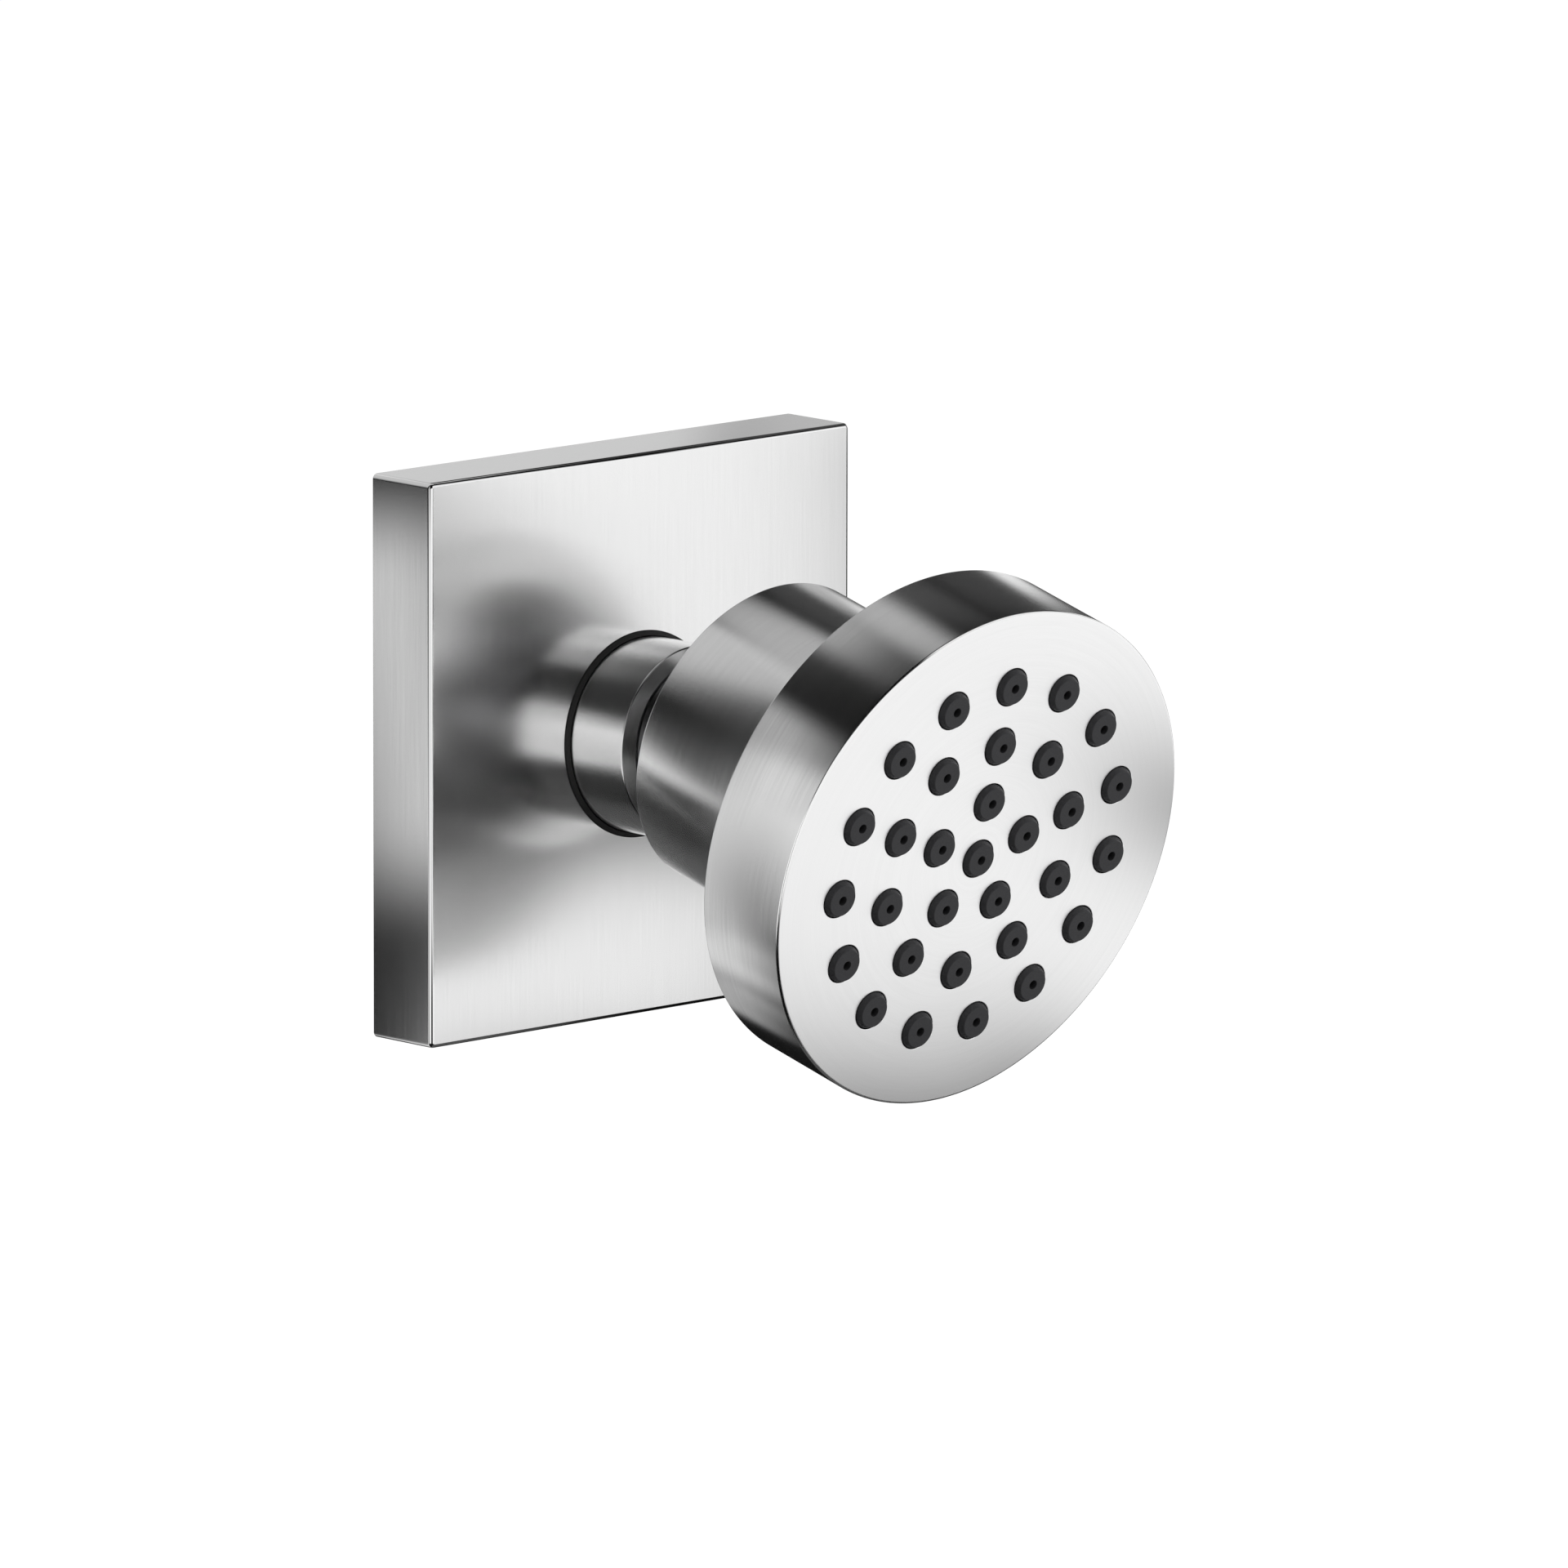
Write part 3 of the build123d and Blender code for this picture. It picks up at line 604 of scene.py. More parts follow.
def connector_surface(s):
    """Connector turned about the pipe, with the pipe thread cut into its back part.

    The thread lowers the radius by depth * wave. The wave eases from 0 on the flat crest to 1 in the flat
    root once in every pitch, and moves on by one pitch in every turn.
    """
    back = connector_stations.min()
    crest = connector_radii.max()
    edge, runout_edge = s.small_edge, 0.3 * MM
    section, normals = rounded((
        (s.runout_radius, s.runout_back, edge),
        (s.runout_radius, s.runout_front, runout_edge),
        (s.sleeve_radius, s.runout_front, edge),
        (s.sleeve_radius, s.sleeve_front, s.sleeve_edge),
        (s.nose_radius, connector_nose, s.nose_edge),
        (s.shank_bore + s.bore_mouth, connector_nose, edge),
        (s.shank_bore, connector_nose - s.bore_mouth, edge),
        (s.shank_bore, s.shank_bore_back, edge),
        (s.inlet_bore, s.shank_bore_back, edge),
        (s.inlet_bore, s.strainer_floor, edge),
        (s.strainer_bore, s.strainer_floor, edge),
        (s.strainer_bore, back, edge),
        (crest - s.lead_in, back, edge),
    ))
    row_count = 170
    thread_rows = np.linspace(back, s.runout_back, row_count)
    ramp = np.minimum(crest, crest - s.lead_in + (thread_rows - back))
    thread_line = np.stack((ramp, thread_rows), axis=1)[1:]
    blank = np.tile((1.0, 0.0), (len(thread_line), 1))
    whole = np.concatenate((section, thread_line))
    is_thread = np.concatenate((np.zeros(len(section), bool), np.ones(len(thread_line), bool)))
    flat_share = 0.125

    def cut(radius, station, around):
        phase = (station / s.thread_pitch - around / (2 * np.pi)) % 1.0
        slope = 1 - np.abs(2 * phase - 1)
        wave = eased((1 + 2 * flat_share) * slope - flat_share)
        fade = np.clip((s.runout_back - station) / (s.thread_pitch / 2), 0, 1)
        root = crest - s.thread_depth * wave
        changed = np.minimum(radius, root * fade + np.minimum(root, s.runout_radius) * (1 - fade))
        return np.where(is_thread[:, None], changed, radius), is_thread

    return turned(pipe, whole, np.concatenate((normals, blank)), reshape=cut)


def stem_surface(s):
    """Ball stem turned about the pipe, its bore made six-sided where the key goes in.

    In the socket the radius is half the width across flats, divided by the cosine of the angle from the
    nearest flat's middle.
    """
    ball_front = ball_out + s.ball_cut
    end = math.asin(s.ball_cut / s.ball_radius)
    low = -math.acos(s.neck_radius / s.ball_radius)
    edge, neck_edge, socket_face = s.small_edge, 0.6 * MM, 1.2 * MM
    rows = np.array((
        (s.stem_bore, ball_front - s.hex_depth, edge),
        (s.stem_bore, s.shank_back, edge),
        (s.shank_radius - s.shank_lead_in, s.shank_back, edge),
        (s.shank_radius, s.shank_back + s.shank_lead_in, edge),
        (s.shank_radius, s.shank_groove_back, edge),
        (s.shank_groove, s.shank_groove_back, edge),
        (s.shank_groove, s.shank_groove_front, edge),
        (s.shank_radius, s.shank_groove_front, edge),
        (s.shank_radius, connector_nose, edge),
        (s.stem_shoulder, connector_nose, s.shoulder_edge),
        (s.stem_shoulder, connector_nose + s.shoulder_length, edge),
        (s.neck_radius, ball_out - s.neck_back, neck_edge),
        (s.neck_radius, ball_out + s.ball_radius * math.sin(low), edge),
    ))
    arc_steps = 60
    arc_normal = heading(np.linspace(low, end, arc_steps)[1:])
    arc_line = s.ball_radius * arc_normal + (0.0, ball_out)
    socket = s.hex_across / 2
    flat_line = np.array((
        (socket + socket_face, ball_front),
        (socket, ball_front),
        (socket, ball_front - s.hex_depth),
    ))
    flat_normal = np.array(((0.0, 1.0), (-0.7, 0.7), (-1.0, 0.0)))
    closing = np.insert(np.concatenate((arc_line[-1:], flat_line[1:])), 2, edge, axis=1)
    section, normals = rounded(np.concatenate((rows, closing)))
    kept = len(rows) * CORNER_STEPS
    section = np.concatenate((section[:kept], arc_line, flat_line))
    normals = np.concatenate((normals[:kept], arc_normal, flat_normal))
    in_socket = np.zeros(len(section), bool)
    in_socket[-2:] = True

    def six_sided(radius, station, around):
        from_flat = (around + math.pi / 6) % (math.pi / 3) - math.pi / 6
        return np.where(in_socket[:, None], radius / np.cos(from_flat), radius), in_socket

    return turned(pipe, section, normals, count=192, reshape=six_sided)


def body_surface(s):
    """Head body: collar with its inward lip, back plate and skirt, turned about the head's axis."""
    back = body_stations.min()
    front = body_stations.max()
    disc_back = cup_stations.min()
    collar = body_radii[body_stations < disc_back - MM].max()
    plate = body_radii.max()
    at_back = body_stations < back + 10 * MICRON
    lip = body_radii[at_back].min()
    edge, collar_root, skirt_root, edge_steps = s.small_edge, 0.25 * MM, 0.4 * MM, 6
    section = rounded((
        (lip, back, edge),
        (collar, back, s.collar_edge),
        (collar, disc_back, collar_root),
        (plate, disc_back, edge),
        (plate, s.rebate_back, edge),
        (s.rebate_radius, s.rebate_back, edge),
        (s.rebate_radius, front, edge),
        (s.skirt_bore, front, edge),
        (s.skirt_bore, s.plate_front, skirt_root),
        (s.collar_bore, s.plate_front, edge),
        (s.collar_bore, -s.seat_back, edge),
        (s.lip_inner, -s.seat_back, edge),
    ), edge_steps)
    return turned(head, *section, count=360)


def nozzle_rings(s):
    """Radius and count of every ring of nozzles."""
    return tuple(zip((s.first_ring, s.second_ring, s.third_ring), np.arange(1, 4) * s.ring_step))


def cup_surface(s):
    """Spray cup: rim and face in one, pierced for the nozzles."""
    back = cup_stations.min()
    inside = spray_front - s.face_thickness
    radius = cup_radii.max()
    bore = radius - s.cup_wall
    inside_edge, back_edge, edge_steps = 0.3 * MM, 0.15 * MM, 6
    hole = (
        (s.nozzle_hole, spray_front, s.nozzle_hole_edge),
        (s.nozzle_hole, inside, s.small_edge),
    )
    rim = (
        (bore, inside, inside_edge),
        (bore, back, s.small_edge),
        (radius, back, back_edge),
        (radius, spray_front, s.cup_edge),
    )
    hole_line = open_line(hole, s.nozzle_hole, edge_steps)
    return pierced(head, nozzle_rings(s), hole_line, open_line(rim, -bore, edge_steps))


def mat_surface(s):
    """Nozzle mat: sheet with a tapered nozzle in every place, bored for the feed and the outlet."""
    tip, back = mat_stations.max(), mat_stations.min()
    sheet_front = back + s.mat_thickness
    radius = mat_radii.max()
    sheet_edge, taper_edge, outlet_edge, sunk = 0.15 * MM, 0.3 * MM, 0.05 * MM, 0.02 * MM
    nozzle = (
        (s.nozzle_root, sheet_front, sheet_edge),
        (s.nozzle_root, spray_front - sunk, taper_edge),
        (s.nozzle_tip, tip, s.nozzle_edge),
        (s.nozzle_outlet, tip, outlet_edge),
        (s.nozzle_outlet, tip - s.nozzle_lip, outlet_edge),
        (s.nozzle_feed, tip - s.nozzle_lip, sheet_edge),
        (s.nozzle_feed, back, sheet_edge),
    )
    rim = ((radius, back, sheet_edge), (radius, sheet_front, sheet_edge))
    return pierced(head, nozzle_rings(s), open_line(nozzle, s.nozzle_root), open_line(rim, -radius))


class Wiring:
    """Node tree of a material or a world, wired afresh step by step."""

    def __init__(self, owner):
        owner.use_nodes = True
        self.tree = owner.node_tree
        self.tree.nodes.clear()

    def feed(self, socket, value):
        """Give a socket another node's output, or a constant."""
        if isinstance(value, NodeSocket):
            self.tree.links.new(value, socket)
        else:
            socket.default_value = value

    def add(self, kind, inputs=None, **settings):
        """A new node with its settings, and its inputs by name or number."""
        node = self.tree.nodes.new("ShaderNode" + kind)
        for name, value in settings.items():
            setattr(node, name, value)
        for socket, value in (inputs or {}).items():
            self.feed(node.inputs[socket], value)
        return node

    def math(self, operation, first, second):
        """One operation on two values."""
        return self.add("Math", {0: first, 1: second}, operation=operation).outputs["Value"]

    def vector(self, operation, first, second):
        """One operation on two vectors, which gives a vector or, for a dot product, a value."""
        node = self.add("VectorMath", {0: first, 1: second}, operation=operation)
        return node.outputs["Value" if operation == "DOT_PRODUCT" else "Vector"]

    def length(self, vector):
        """Length of a vector."""
        return self.add("VectorMath", {0: vector}, operation="LENGTH").outputs["Value"]

    def scaled(self, vector, scale):
        """A vector or colour times a value."""
        return self.add("VectorMath", {0: vector, "Scale": scale}, operation="SCALE").outputs["Vector"]

    def ranged(self, value, low, high, start=0.0, end=1.0):
        """A value carried from one range to another."""
        limits = {"From Min": start, "From Max": end, "To Min": low, "To Max": high}
        return self.add("MapRange", {"Value": value, **limits}).outputs["Result"]


class Finish(Wiring):
    """A piece's material: its shader, and the patterns that it takes from the piece's own coordinates."""

    def __init__(self, name):
        self.material = bpy.data.materials.new(name)
        super().__init__(self.material)
        self.shader = self.add("BsdfPrincipled")
        self.add("OutputMaterial", {"Surface": self.shader.outputs["BSDF"]})
        self.place = self.add("TexCoord").outputs["Object"]

    def give(self, name, value):
        """Give one of the shader's inputs a linked value or a constant."""
        self.feed(self.shader.inputs[name], value)

    def given(self, name):
        """What one of the shader's inputs is linked to."""
        return self.shader.inputs[name].links[0].from_socket

    def noise(self, where, detail):
        """Noise with a grain of 1, at these coordinates."""
        return self.add("TexNoise", {"Vector": where, "Scale": 1.0, "Detail": detail}).outputs["Fac"]

    def grained(self, axis, grain, detail):
        """Noise whose grain, in metres, is given along an axis's right, up and own directions."""
        basis = Matrix((axis.right, axis.up, axis.direction)).transposed()
        lie = {"Location": axis.origin, "Rotation": basis.to_euler(), "Scale": grain}
        mapping = self.add("Mapping", {"Vector": self.place, **lie}, vector_type="TEXTURE")
        return self.noise(mapping.outputs["Vector"], detail)

    def upright_lines(self, width, length, detail):
        """Noise drawn out into upright lines."""
        return self.grained(pipe, (width, length, width), detail)

    def round_lines(self, axis, width, length, detail):
        """Noise drawn out into lines round an axis.

        It changes fast with the radius and with the station along the axis, and slowly sideways.
        """
        out = self.out_from(axis)
        where = self.add("CombineXYZ", {
            "X": self.length(self.vector("CROSS_PRODUCT", out, axis.direction)),
            "Y": self.vector("DOT_PRODUCT", out, axis.direction),
            "Z": self.vector("DOT_PRODUCT", out, axis.right),
        })
        return self.noise(self.vector("DIVIDE", where.outputs["Vector"], (width, width, length)), detail)

    def spread(self, value, low, high):
        """The middle half of a noise stretched over a range."""
        return self.ranged(value, low, high, 0.25, 0.75)

    def patterned(self, value, base, darker, lighter, dull, glossy):
        """Colour times a factor, and roughness, that a noise moves between two values each."""
        self.give("Base Color", self.scaled(base, self.spread(value, darker, lighter)))
        self.give("Roughness", self.spread(value, dull, glossy))

    def raised(self, value, depth):
        """Relief of the given depth, in metres, from a noise."""
        bump = self.add("Bump", {"Strength": 1.0, "Distance": depth, "Height": value})
        self.give("Normal", bump.outputs["Normal"])

    def in_world(self, vector):
        """A direction of the piece's own, turned with the piece."""
        turned_with = self.add("VectorTransform", {"Vector": vector}, vector_type="VECTOR",
                               convert_from="OBJECT", convert_to="WORLD")
        return turned_with.outputs["Vector"]

    def out_from(self, axis):
        """The way from an axis's origin to the point."""
        return self.vector("SUBTRACT", self.place, axis.origin)

    def split(self, axis, station, ahead, behind):
        """One value in front of a station along an axis and another behind it."""
        along = self.vector("DOT_PRODUCT", self.out_from(axis), axis.direction)
        return self.ranged(self.math("LESS_THAN", along, station), ahead, behind)

    def shade(self, axis, station, ahead, behind):
        """Scales the colour in front of a station and behind it, as painted shade."""
        share = self.split(axis, station, ahead, behind)
        self.give("Base Color", self.scaled(self.given("Base Color"), share))


def brush(finish, base, roughness, contrast, lines_drawn, *axis):
    """Satin metal: fine and coarse brush lines in colour, gloss and relief, as lines_drawn draws them."""
    fine_share, uneven = 0.6, 0.02
    fine = lines_drawn(*axis, width=0.11 * MM, length=6 * MM, detail=3.0)
    coarse = lines_drawn(*axis, width=0.45 * MM, length=24 * MM, detail=2.0)
    both = finish.math("ADD", finish.math("MULTIPLY", coarse, 1 - fine_share),
                       finish.math("MULTIPLY", fine, fine_share))
    finish.patterned(both, base, 1 - contrast, 1 + contrast / 2, roughness + uneven, roughness - uneven)
    finish.raised(fine, 0.5 * MICRON)
    finish.give("Metallic", 1.0)


def flange_edge_mask(finish, width):
    """1 on the flange's front edge, within a width of both its outline and its front, and 0 elsewhere."""
    reach = finish.vector("ABSOLUTE", finish.place, (0.0, 0.0, 0.0))
    parts = finish.add("SeparateXYZ", {"Vector": reach}).outputs
    outline = finish.math("MAXIMUM", parts["X"], parts["Z"])
    near_outline = finish.math("GREATER_THAN", outline, flange_half - width)
    near_front = finish.math("GREATER_THAN", parts["Y"], flange_depth - width)
    return finish.math("MULTIPLY", near_outline, near_front)


def flat_brushed(name, f, edge):
    """Satin metal brushed up and down, so that reflections stretch sideways, with a keener front edge."""
    finish = Finish(name)
    brush(finish, f.satin, f.flat_roughness, f.flat_lines, finish.upright_lines)
    keener = finish.ranged(flange_edge_mask(finish, edge), 1.0, f.edge_polish)
    finish.give("Roughness", finish.math("MULTIPLY", finish.given("Roughness"), keener))
    # This way lies sideways on the front and on both sides alike
    sideways = finish.add("CombineXYZ", {"X": 1.0, "Y": -1.0, "Z": 0.05})
    finish.give("Tangent", finish.in_world(sideways.outputs["Vector"]))
    finish.give("Anisotropic", f.flat_stretch)
    return finish


def turned_brushed(name, f, axis):
    """Satin metal brushed round an axis, so that reflections stretch along it."""
    quarter_turn = 0.25
    finish = Finish(name)
    brush(finish, f.satin, f.turned_roughness, f.turned_lines, finish.round_lines, axis)
    round_way = finish.vector("CROSS_PRODUCT", finish.out_from(axis), axis.direction)
    finish.give("Tangent", finish.in_world(round_way))
    finish.give("Anisotropic", f.turned_stretch)
    finish.give("Anisotropic Rotation", quarter_turn)
    return finish


def even_front(finish, f, axis, front):
    """Blurs reflections evenly, and more, in front of a station, as on the flat spray face."""
    finish.give("Anisotropic", finish.split(axis, front, 0.0, f.turned_stretch))
    more = finish.split(axis, front, f.face_roughness - f.turned_roughness, 0.0)
    finish.give("Roughness", finish.math("ADD", finish.given("Roughness"), more))


class SmoothMetal(NamedTuple):
    """Metal with faint tool or rolling marks, whose grain runs along an axis's right, up and own ways."""

    setting: str
    roughness: float
    axis: TurningAxis
    grain: tuple
    relief: float

    def made(self, name, f):
        """The finish, its marks in colour, gloss and relief."""
        finish = Finish(name)
        marks = finish.grained(self.axis, self.grain, detail=3.0)
        dull, glossy = self.roughness * 1.2, self.roughness * 0.85
        darker, lighter = 0.94, 1.04
        finish.patterned(marks, getattr(f, self.setting), darker, lighter, dull, glossy)
        finish.raised(marks, self.relief)
        finish.give("Metallic", 1.0)
        return finish


class Moulded(NamedTuple):
    """Rubber, silicone or moulded plastic, with an even fine grain."""

    setting: str
    roughness: float
    grain: float
    relief: float
    specular: float

    def made(self, name, f):
        """The finish, its grain in colour, gloss and relief."""
        uneven = 0.06
        finish = Finish(name)
        speckle = finish.grained(head, (self.grain,) * 3, detail=4.0)
        dull, glossy = self.roughness + uneven, self.roughness - uneven
        darker, lighter = 0.88, 1.12
        finish.patterned(speckle, getattr(f, self.setting), darker, lighter, dull, glossy)
        finish.raised(speckle, self.relief)
        finish.give("Specular IOR Level", self.specular)
        return finish


tool_marks = (6 * MM, 6 * MM, 0.45 * MM)
rolling_marks = (0.45 * MM, 6 * MM, 0.45 * MM)
plain_finishes = {
    "plated": SmoothMetal("chrome", 0.16, pipe, tool_marks, 0.3 * MICRON),
    "strainer steel": SmoothMetal("steel", 0.3, pipe, rolling_marks, MICRON),
    "spring steel": SmoothMetal("spring", 0.28, head, tool_marks, MICRON),
    "turned brass": SmoothMetal("brass", 0.24, head, tool_marks, 1.5 * MICRON),
    "rubber": Moulded("rubber", 0.6, 0.15 * MM, 4 * MICRON, 0.4),
    "silicone": Moulded("silicone", 0.5, 0.12 * MM, 3 * MICRON, 0.12),
    "acetal": Moulded("acetal", 0.4, 0.3 * MM, 2 * MICRON, 0.5),
    "grey plastic": Moulded("grey_plastic", 0.5, 0.2 * MM, 4 * MICRON, 0.5),
    "white plastic": Moulded("white_plastic", 0.45, 0.2 * MM, 3 * MICRON, 0.5),
}


def new_finish(name):
    """The finish of that name, made from the settings."""
    f = bpy.context.scene.jet_finish
    s = bpy.context.scene.jet_sizes
    if name == "upright brushed":
        return flat_brushed(name, f, s.flange_edge)
    if name == "pipe brushed":
        finish = turned_brushed(name, f, pipe)
        # Painted shade on the connector's shoulder, in front of the sleeve
        finish.shade(pipe, s.sleeve_front, f.painted_shoulder_shade, 1.0)
        return finish
    if name == "head brushed":
        just_behind = 0.05 * MM
        finish = turned_brushed(name, f, head)
        even_front(finish, f, head, spray_front - just_behind)
        return finish
    finish = plain_finishes[name].made(name, f)
    # Painted shade on the stem's shoulder and neck, behind where the neck widens
    if name == "plated":
        finish.shade(pipe, ball_out - s.neck_back, 1.0, f.painted_neck_shade)
    return finish


def finish_named(name):
    """The material of that name, made once."""
    return bpy.data.materials.get(name) or new_finish(name).material


class JET_OT_flange(Operator):
    """Build the square wall flange and its rubber seal"""

    bl_idname = "body_jet.flange"
    bl_label = "Wall Flange"

    def execute(self, context):
        s = context.scene.jet_sizes
        make_piece("flange_shell", flange_surface(s), "base", "satin_flange", "upright brushed",
                   "wall_flange")
        make_piece("sleeve_seal", seal_surface(s), "base", "black_rubber", "rubber", "flange_seal")
        return {"FINISHED"}


class JET_OT_connector(Operator):
    """Build the connector, with its smooth sleeve and its inlet thread"""

    bl_idname = "body_jet.connector"
    bl_label = "Threaded Connector"

    def execute(self, context):
        surface = connector_surface(context.scene.jet_sizes)
        make_piece("threaded_connector", surface, "base", "satin_turned", "pipe brushed", "connector")
        return {"FINISHED"}


class JET_OT_stem(Operator):
    """Build the hollow stem with its ball and key socket"""

    bl_idname = "body_jet.stem"
    bl_label = "Ball Stem"

    def execute(self, context):
        surface = stem_surface(context.scene.jet_sizes)
        make_piece("plated_stem", surface, "stem", "ball_chrome", "plated", "ball_stem")
        return {"FINISHED"}


class JET_OT_head(Operator):
    """Build the head: collar and back plate, spray cup and nozzle mat"""

    bl_idname = "body_jet.head"
    bl_label = "Spray Head"

    def execute(self, context):
        s = context.scene.jet_sizes
        make_piece("head_collar", body_surface(s), "head", "satin_turned", "head brushed", "head_body")
        make_piece("spray_rim_and_face", cup_surface(s), "head", "satin_turned", "head brushed", "spray_cup")
        make_piece("soft_nozzles", mat_surface(s), "head", "nozzle_silicone", "silicone", "nozzle_mat")
        return {"FINISHED"}


class JET_OT_inner(Operator):
    """Give the inner pieces, which keep their CAD shapes, their finishes"""

    bl_idname = "body_jet.inner"
    bl_label = "Inner Pieces"

    def execute(self, context):
        finishes = {
            "wall_gasket": "rubber", "restrictor_ring": "rubber", "stem_o_ring": "rubber",
            "ball_seal": "rubber", "cup_seal": "rubber",
            "rear_seat": "acetal", "front_seat": "acetal",
            "inlet_strainer": "strainer steel", "flow_restrictor": "white plastic",
            "distributor_plate": "grey plastic",
            "disc_spring": "spring steel", "retaining_ring": "turned brass",
        }
        for node, finish in finishes.items():
            for slot in frame["nodes"][node].material_slots:
                slot.material = finish_named(finish)
        return {"FINISHED"}


class JET_OT_stage(Operator):
    """Set up the camera, the floor, the black cloth and the studio light"""

    bl_idname = "body_jet.stage"
    bl_label = "Studio"

    def execute(self, context):
        set_camera(context.scene)
        set_floor(context.scene)
        set_cloth(context.scene)
        set_light(context.scene)
        return {"FINISHED"}


def away_from(azimuth, elevation):
    """Directions round from the front and up from level, as x, y and z on a last axis."""
    level = np.cos(elevation)
    return np.stack((np.sin(azimuth) * level, -np.cos(azimuth) * level, np.sin(elevation)), axis=-1)


def set_camera(scene):
    """Camera at its azimuth, elevation and distance from the point it looks at."""
    studio = scene.jet_studio
    data = bpy.data.cameras.new("camera")
    data.lens = studio.lens
    data.sensor_width = 36.0
    data.clip_end = 20.0
    away = Vector(away_from(studio.azimuth, studio.elevation))
    turn = away.to_track_quat("Z", "Y").to_matrix() @ Matrix.Rotation(studio.roll, 3, "Z")
    stand = Vector(studio.aim) + away * studio.distance
    scene.camera = add_object("camera", data)
    scene.camera.matrix_world = Matrix.Translation(stand) @ turn.to_4x4()


def mirror_rays(wiring, rays):
    """1 for rays in mirrors and through glass, 0 for the rest."""
    return wiring.math("MAXIMUM", rays["Is Glossy Ray"], rays["Is Transmission Ray"])


def set_floor(scene):
    """Wide pale floor, which looks white to the camera and in reflections, and still takes shadows."""
    reach = 6.0
    pale = 0.8
    drop = -scene.jet_studio.floor_drop
    corners = [(-reach, -reach, drop), (reach, -reach, drop), (reach, reach, drop), (-reach, reach, drop)]
    mesh = bpy.data.meshes.new("floor")
    mesh.from_pydata(corners, [], [(0, 1, 2, 3)])
    material = bpy.data.materials.new("pale floor")
    material.cycles.emission_sampling = "NONE"
    wiring = Wiring(material)
    matt = wiring.add("BsdfDiffuse", {"Color": (pale, pale, pale, 1.0)}).outputs["BSDF"]
    glow = wiring.add("Emission", {"Strength": 1.0 - pale * scene.jet_studio.room_light})
    both = wiring.add("AddShader", {0: matt, 1: glow.outputs["Emission"]}).outputs["Shader"]
    white = wiring.add("Emission", {"Strength": 1.0}).outputs["Emission"]
    rays = wiring.add("LightPath").outputs
    in_sight = wiring.add("MixShader", {"Fac": rays["Is Camera Ray"], 1: matt, 2: both}).outputs["Shader"]
    in_mirror = wiring.add("MixShader", {"Fac": mirror_rays(wiring, rays), 1: in_sight, 2: white})
    wiring.add("OutputMaterial", {"Surface": in_mirror.outputs["Shader"]})
    mesh.materials.append(material)
    floor = add_object("floor", mesh)


def cloth_openness(azimuth, elevation, edge):
    """Share of the light that comes through the black cloth in every direction, angles in degrees.

    An opening lets through its share times a smooth step at each of its four edges. What several openings
    leave closed is the product of what each one leaves closed.
    """
    closed = np.ones(np.broadcast(azimuth, elevation).shape)
    for hole in openings.values():
        middle = (hole.left + hole.right) / 2 + hole.lean * (elevation - (hole.low + hole.high) / 2)
        beside = np.abs((azimuth - middle + 180) % 360 - 180)
        across = eased(((hole.right - hole.left) / 2 - beside) / edge + 0.5)
        upright = eased((elevation - hole.low) / edge + 0.5) * eased((hole.high - elevation) / edge + 0.5)
        closed = closed * (1 - hole.share * across * upright)
    return 1 - closed


def set_cloth(scene):
    """Black cloth round the jet with openings to the white room, seen in reflections alone.

    It is a sphere about its middle, a radius out in every direction.
    """
    studio = scene.jet_studio
    columns, rows = 240, 121
    around = np.linspace(-180, 180, columns, endpoint=False)
    upwards = np.linspace(-90, 90, rows)
    azimuth, elevation = np.meshgrid(around, upwards)
    direction = away_from(np.radians(azimuth), np.radians(elevation))
    points = np.array(studio.cloth_middle) + studio.cloth_radius * direction
    mesh = bpy.data.meshes.new("black cloth")
    mesh.from_pydata(points.reshape(-1, 3), [], grid_quads(rows, columns, close_rows=False))
    openness = cloth_openness(azimuth, elevation, math.degrees(studio.cloth_edge))
    layer = mesh.attributes.new("openness", "FLOAT", "POINT")
    layer.data.foreach_set("value", openness.astype(np.float32).ravel())
    mesh.materials.append(cloth_material())
    cloth = add_object("black_cloth", mesh)
    cloth.visible_camera = False
    cloth.visible_diffuse = False
    cloth.visible_shadow = False


def cloth_material():
    """Black where the cloth is closed, clear where it is open."""
    black = 0.01
    material = bpy.data.materials.new("black cloth")
    wiring = Wiring(material)
    openness = wiring.add("Attribute", attribute_name="openness").outputs["Fac"]
    matt = wiring.add("BsdfDiffuse", {"Color": (black, black, black, 1.0)}).outputs["BSDF"]
    clear = wiring.add("BsdfTransparent").outputs["BSDF"]
    pick = wiring.add("MixShader", {"Fac": openness, 1: matt, 2: clear})
    wiring.add("OutputMaterial", {"Surface": pick.outputs["Shader"]})
    return material


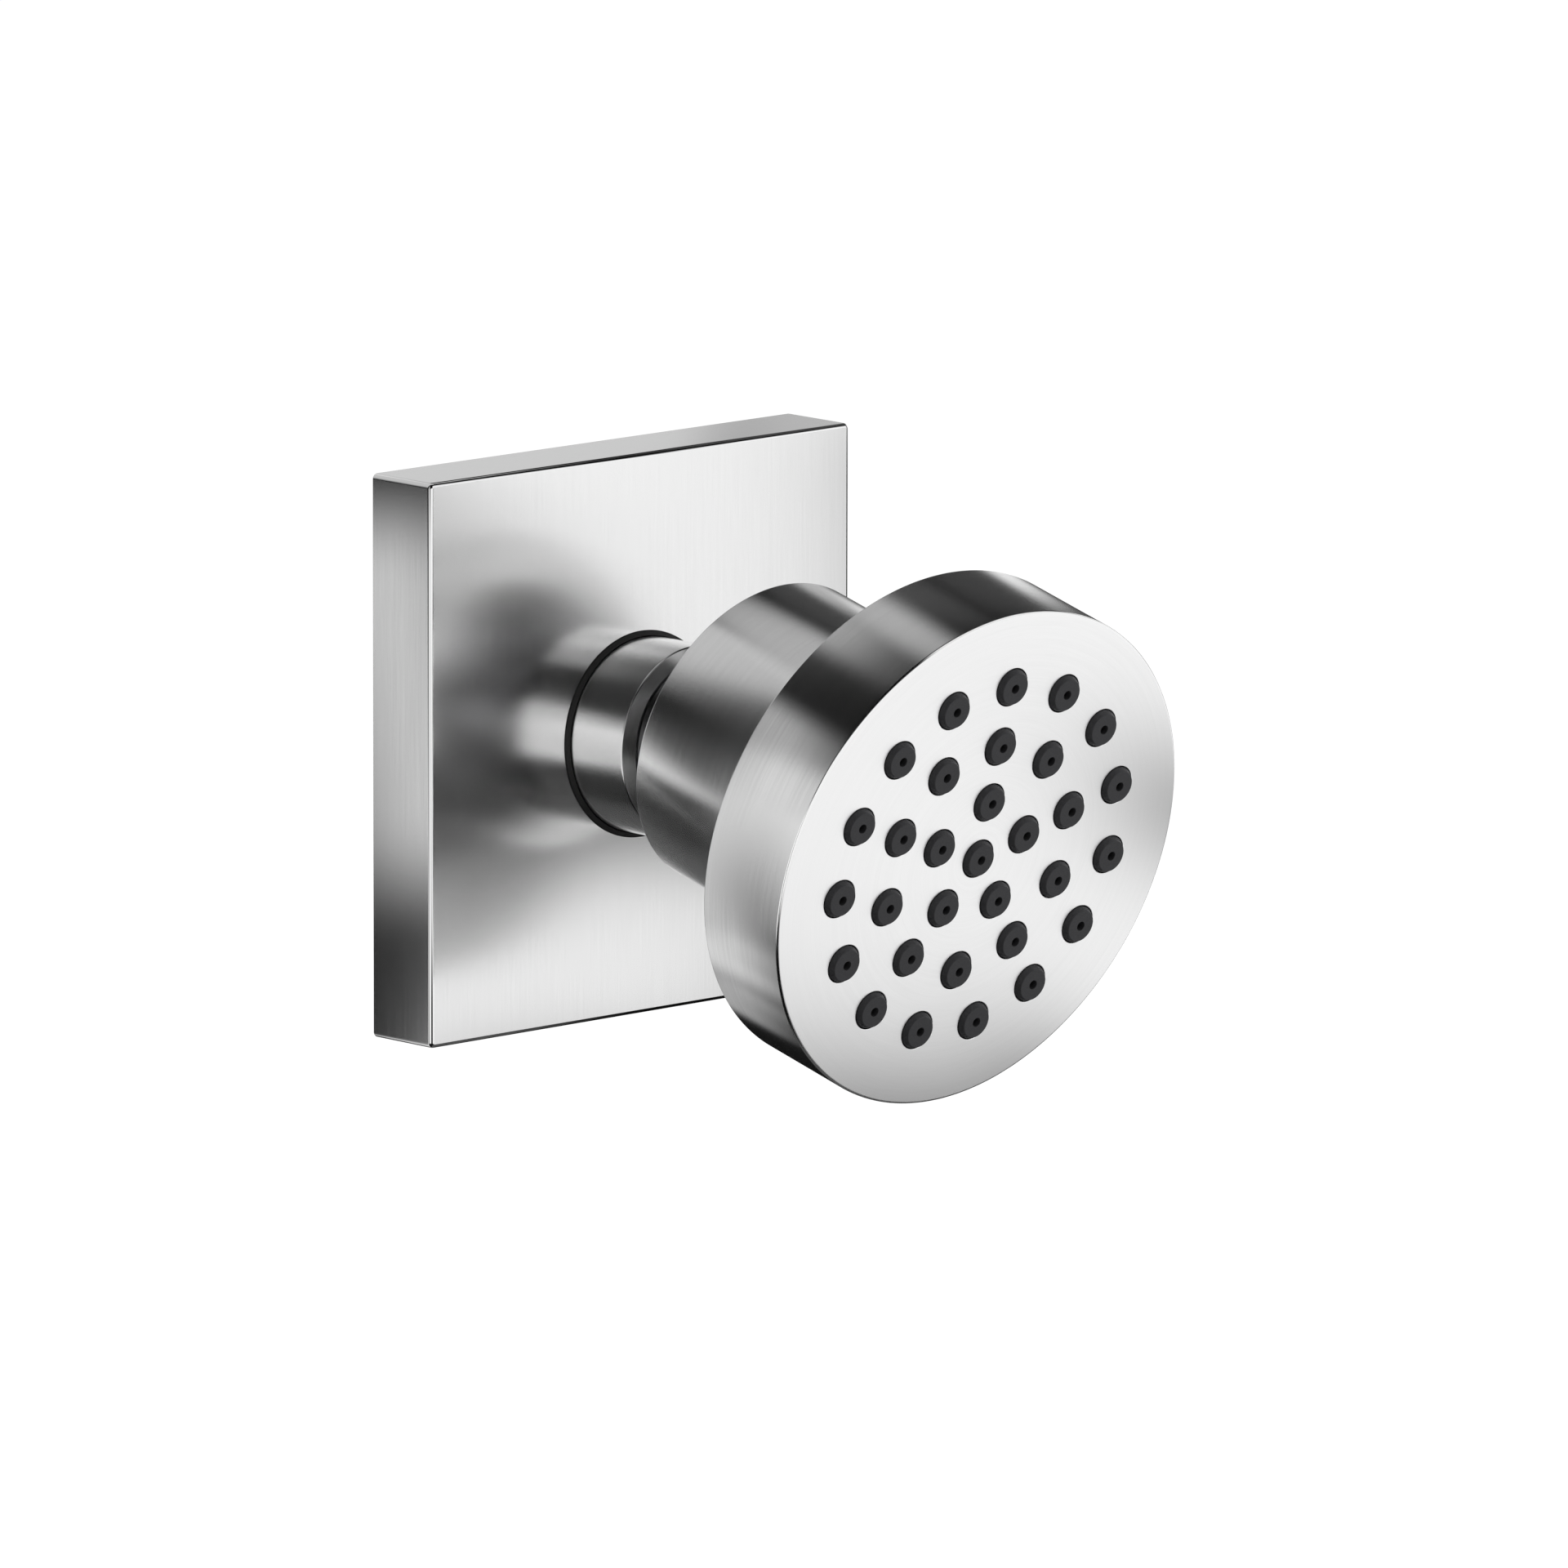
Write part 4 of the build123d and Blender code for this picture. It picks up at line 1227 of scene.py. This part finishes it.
def set_light(scene):
    """White room, and two soft lamps that light matt surfaces."""
    world = bpy.data.worlds.new("white room")
    scene.world = world
    world.cycles.sampling_method = "NONE"
    wiring = Wiring(world)
    rays = wiring.add("LightPath").outputs
    seen = wiring.math("MAXIMUM", rays["Is Camera Ray"], mirror_rays(wiring, rays))
    strength = wiring.ranged(seen, scene.jet_studio.room_light, 1.0)
    glow = wiring.add("Background", {"Color": (1.0, 1.0, 1.0, 1.0), "Strength": strength})
    wiring.add("OutputWorld", {"Surface": glow.outputs["Background"]})
    add_lamp(scene, "lamp at the right", (1.3, -1.3, 0.4))
    add_lamp(scene, "lamp in front", (0.5, -1.7, 0.1))
    scene.view_settings.view_transform = "Standard"


def add_lamp(scene, name, place):
    """Square lamp that faces the jet and gives a white matt surface there the brightness that is set.

    A lamp of power P gives a facing surface at distance d a brightness of about P / (4 * pi * d * d).
    """
    lamp = bpy.data.lights.new(name, "AREA")
    lamp.size = 1.0
    lamp.energy = scene.jet_studio.lamp_light * 4 * math.pi * Vector(place).length_squared
    rig = add_object(name, lamp)
    rig.matrix_world = Matrix.Translation(place) @ Vector(place).to_track_quat("Z", "Y").to_matrix().to_4x4()
    rig.visible_glossy = False


class JET_PT_panel(Panel):
    """Lists the steps that build the body jet"""

    bl_label = "Body Jet"
    bl_idname = "JET_PT_panel"
    bl_space_type = "VIEW_3D"
    bl_region_type = "UI"
    bl_category = "Body Jet"

    def draw(self, context):
        for step in build_steps:
            self.layout.operator(step.bl_idname)


build_steps = (JET_OT_flange, JET_OT_connector, JET_OT_stem, JET_OT_head, JET_OT_inner, JET_OT_stage)
classes = (JetSizes, JetFinish, JetStudio) + build_steps + (JET_PT_panel,)


def register():
    """Register the classes and hang the settings on the scene."""
    for cls in classes:
        bpy.utils.register_class(cls)
    bpy.types.Scene.jet_sizes = PointerProperty(type=JetSizes)
    bpy.types.Scene.jet_finish = PointerProperty(type=JetFinish)
    bpy.types.Scene.jet_studio = PointerProperty(type=JetStudio)


def unregister():
    """Take the settings and the classes away again."""
    del bpy.types.Scene.jet_sizes, bpy.types.Scene.jet_finish, bpy.types.Scene.jet_studio
    for cls in reversed(classes):
        bpy.utils.unregister_class(cls)


def main():
    """Build every piece and the studio."""
    register()
    bpy.ops.body_jet.flange()
    bpy.ops.body_jet.connector()
    bpy.ops.body_jet.stem()
    bpy.ops.body_jet.head()
    bpy.ops.body_jet.inner()
    bpy.ops.body_jet.stage()


if __name__ == "__main__":
    main()
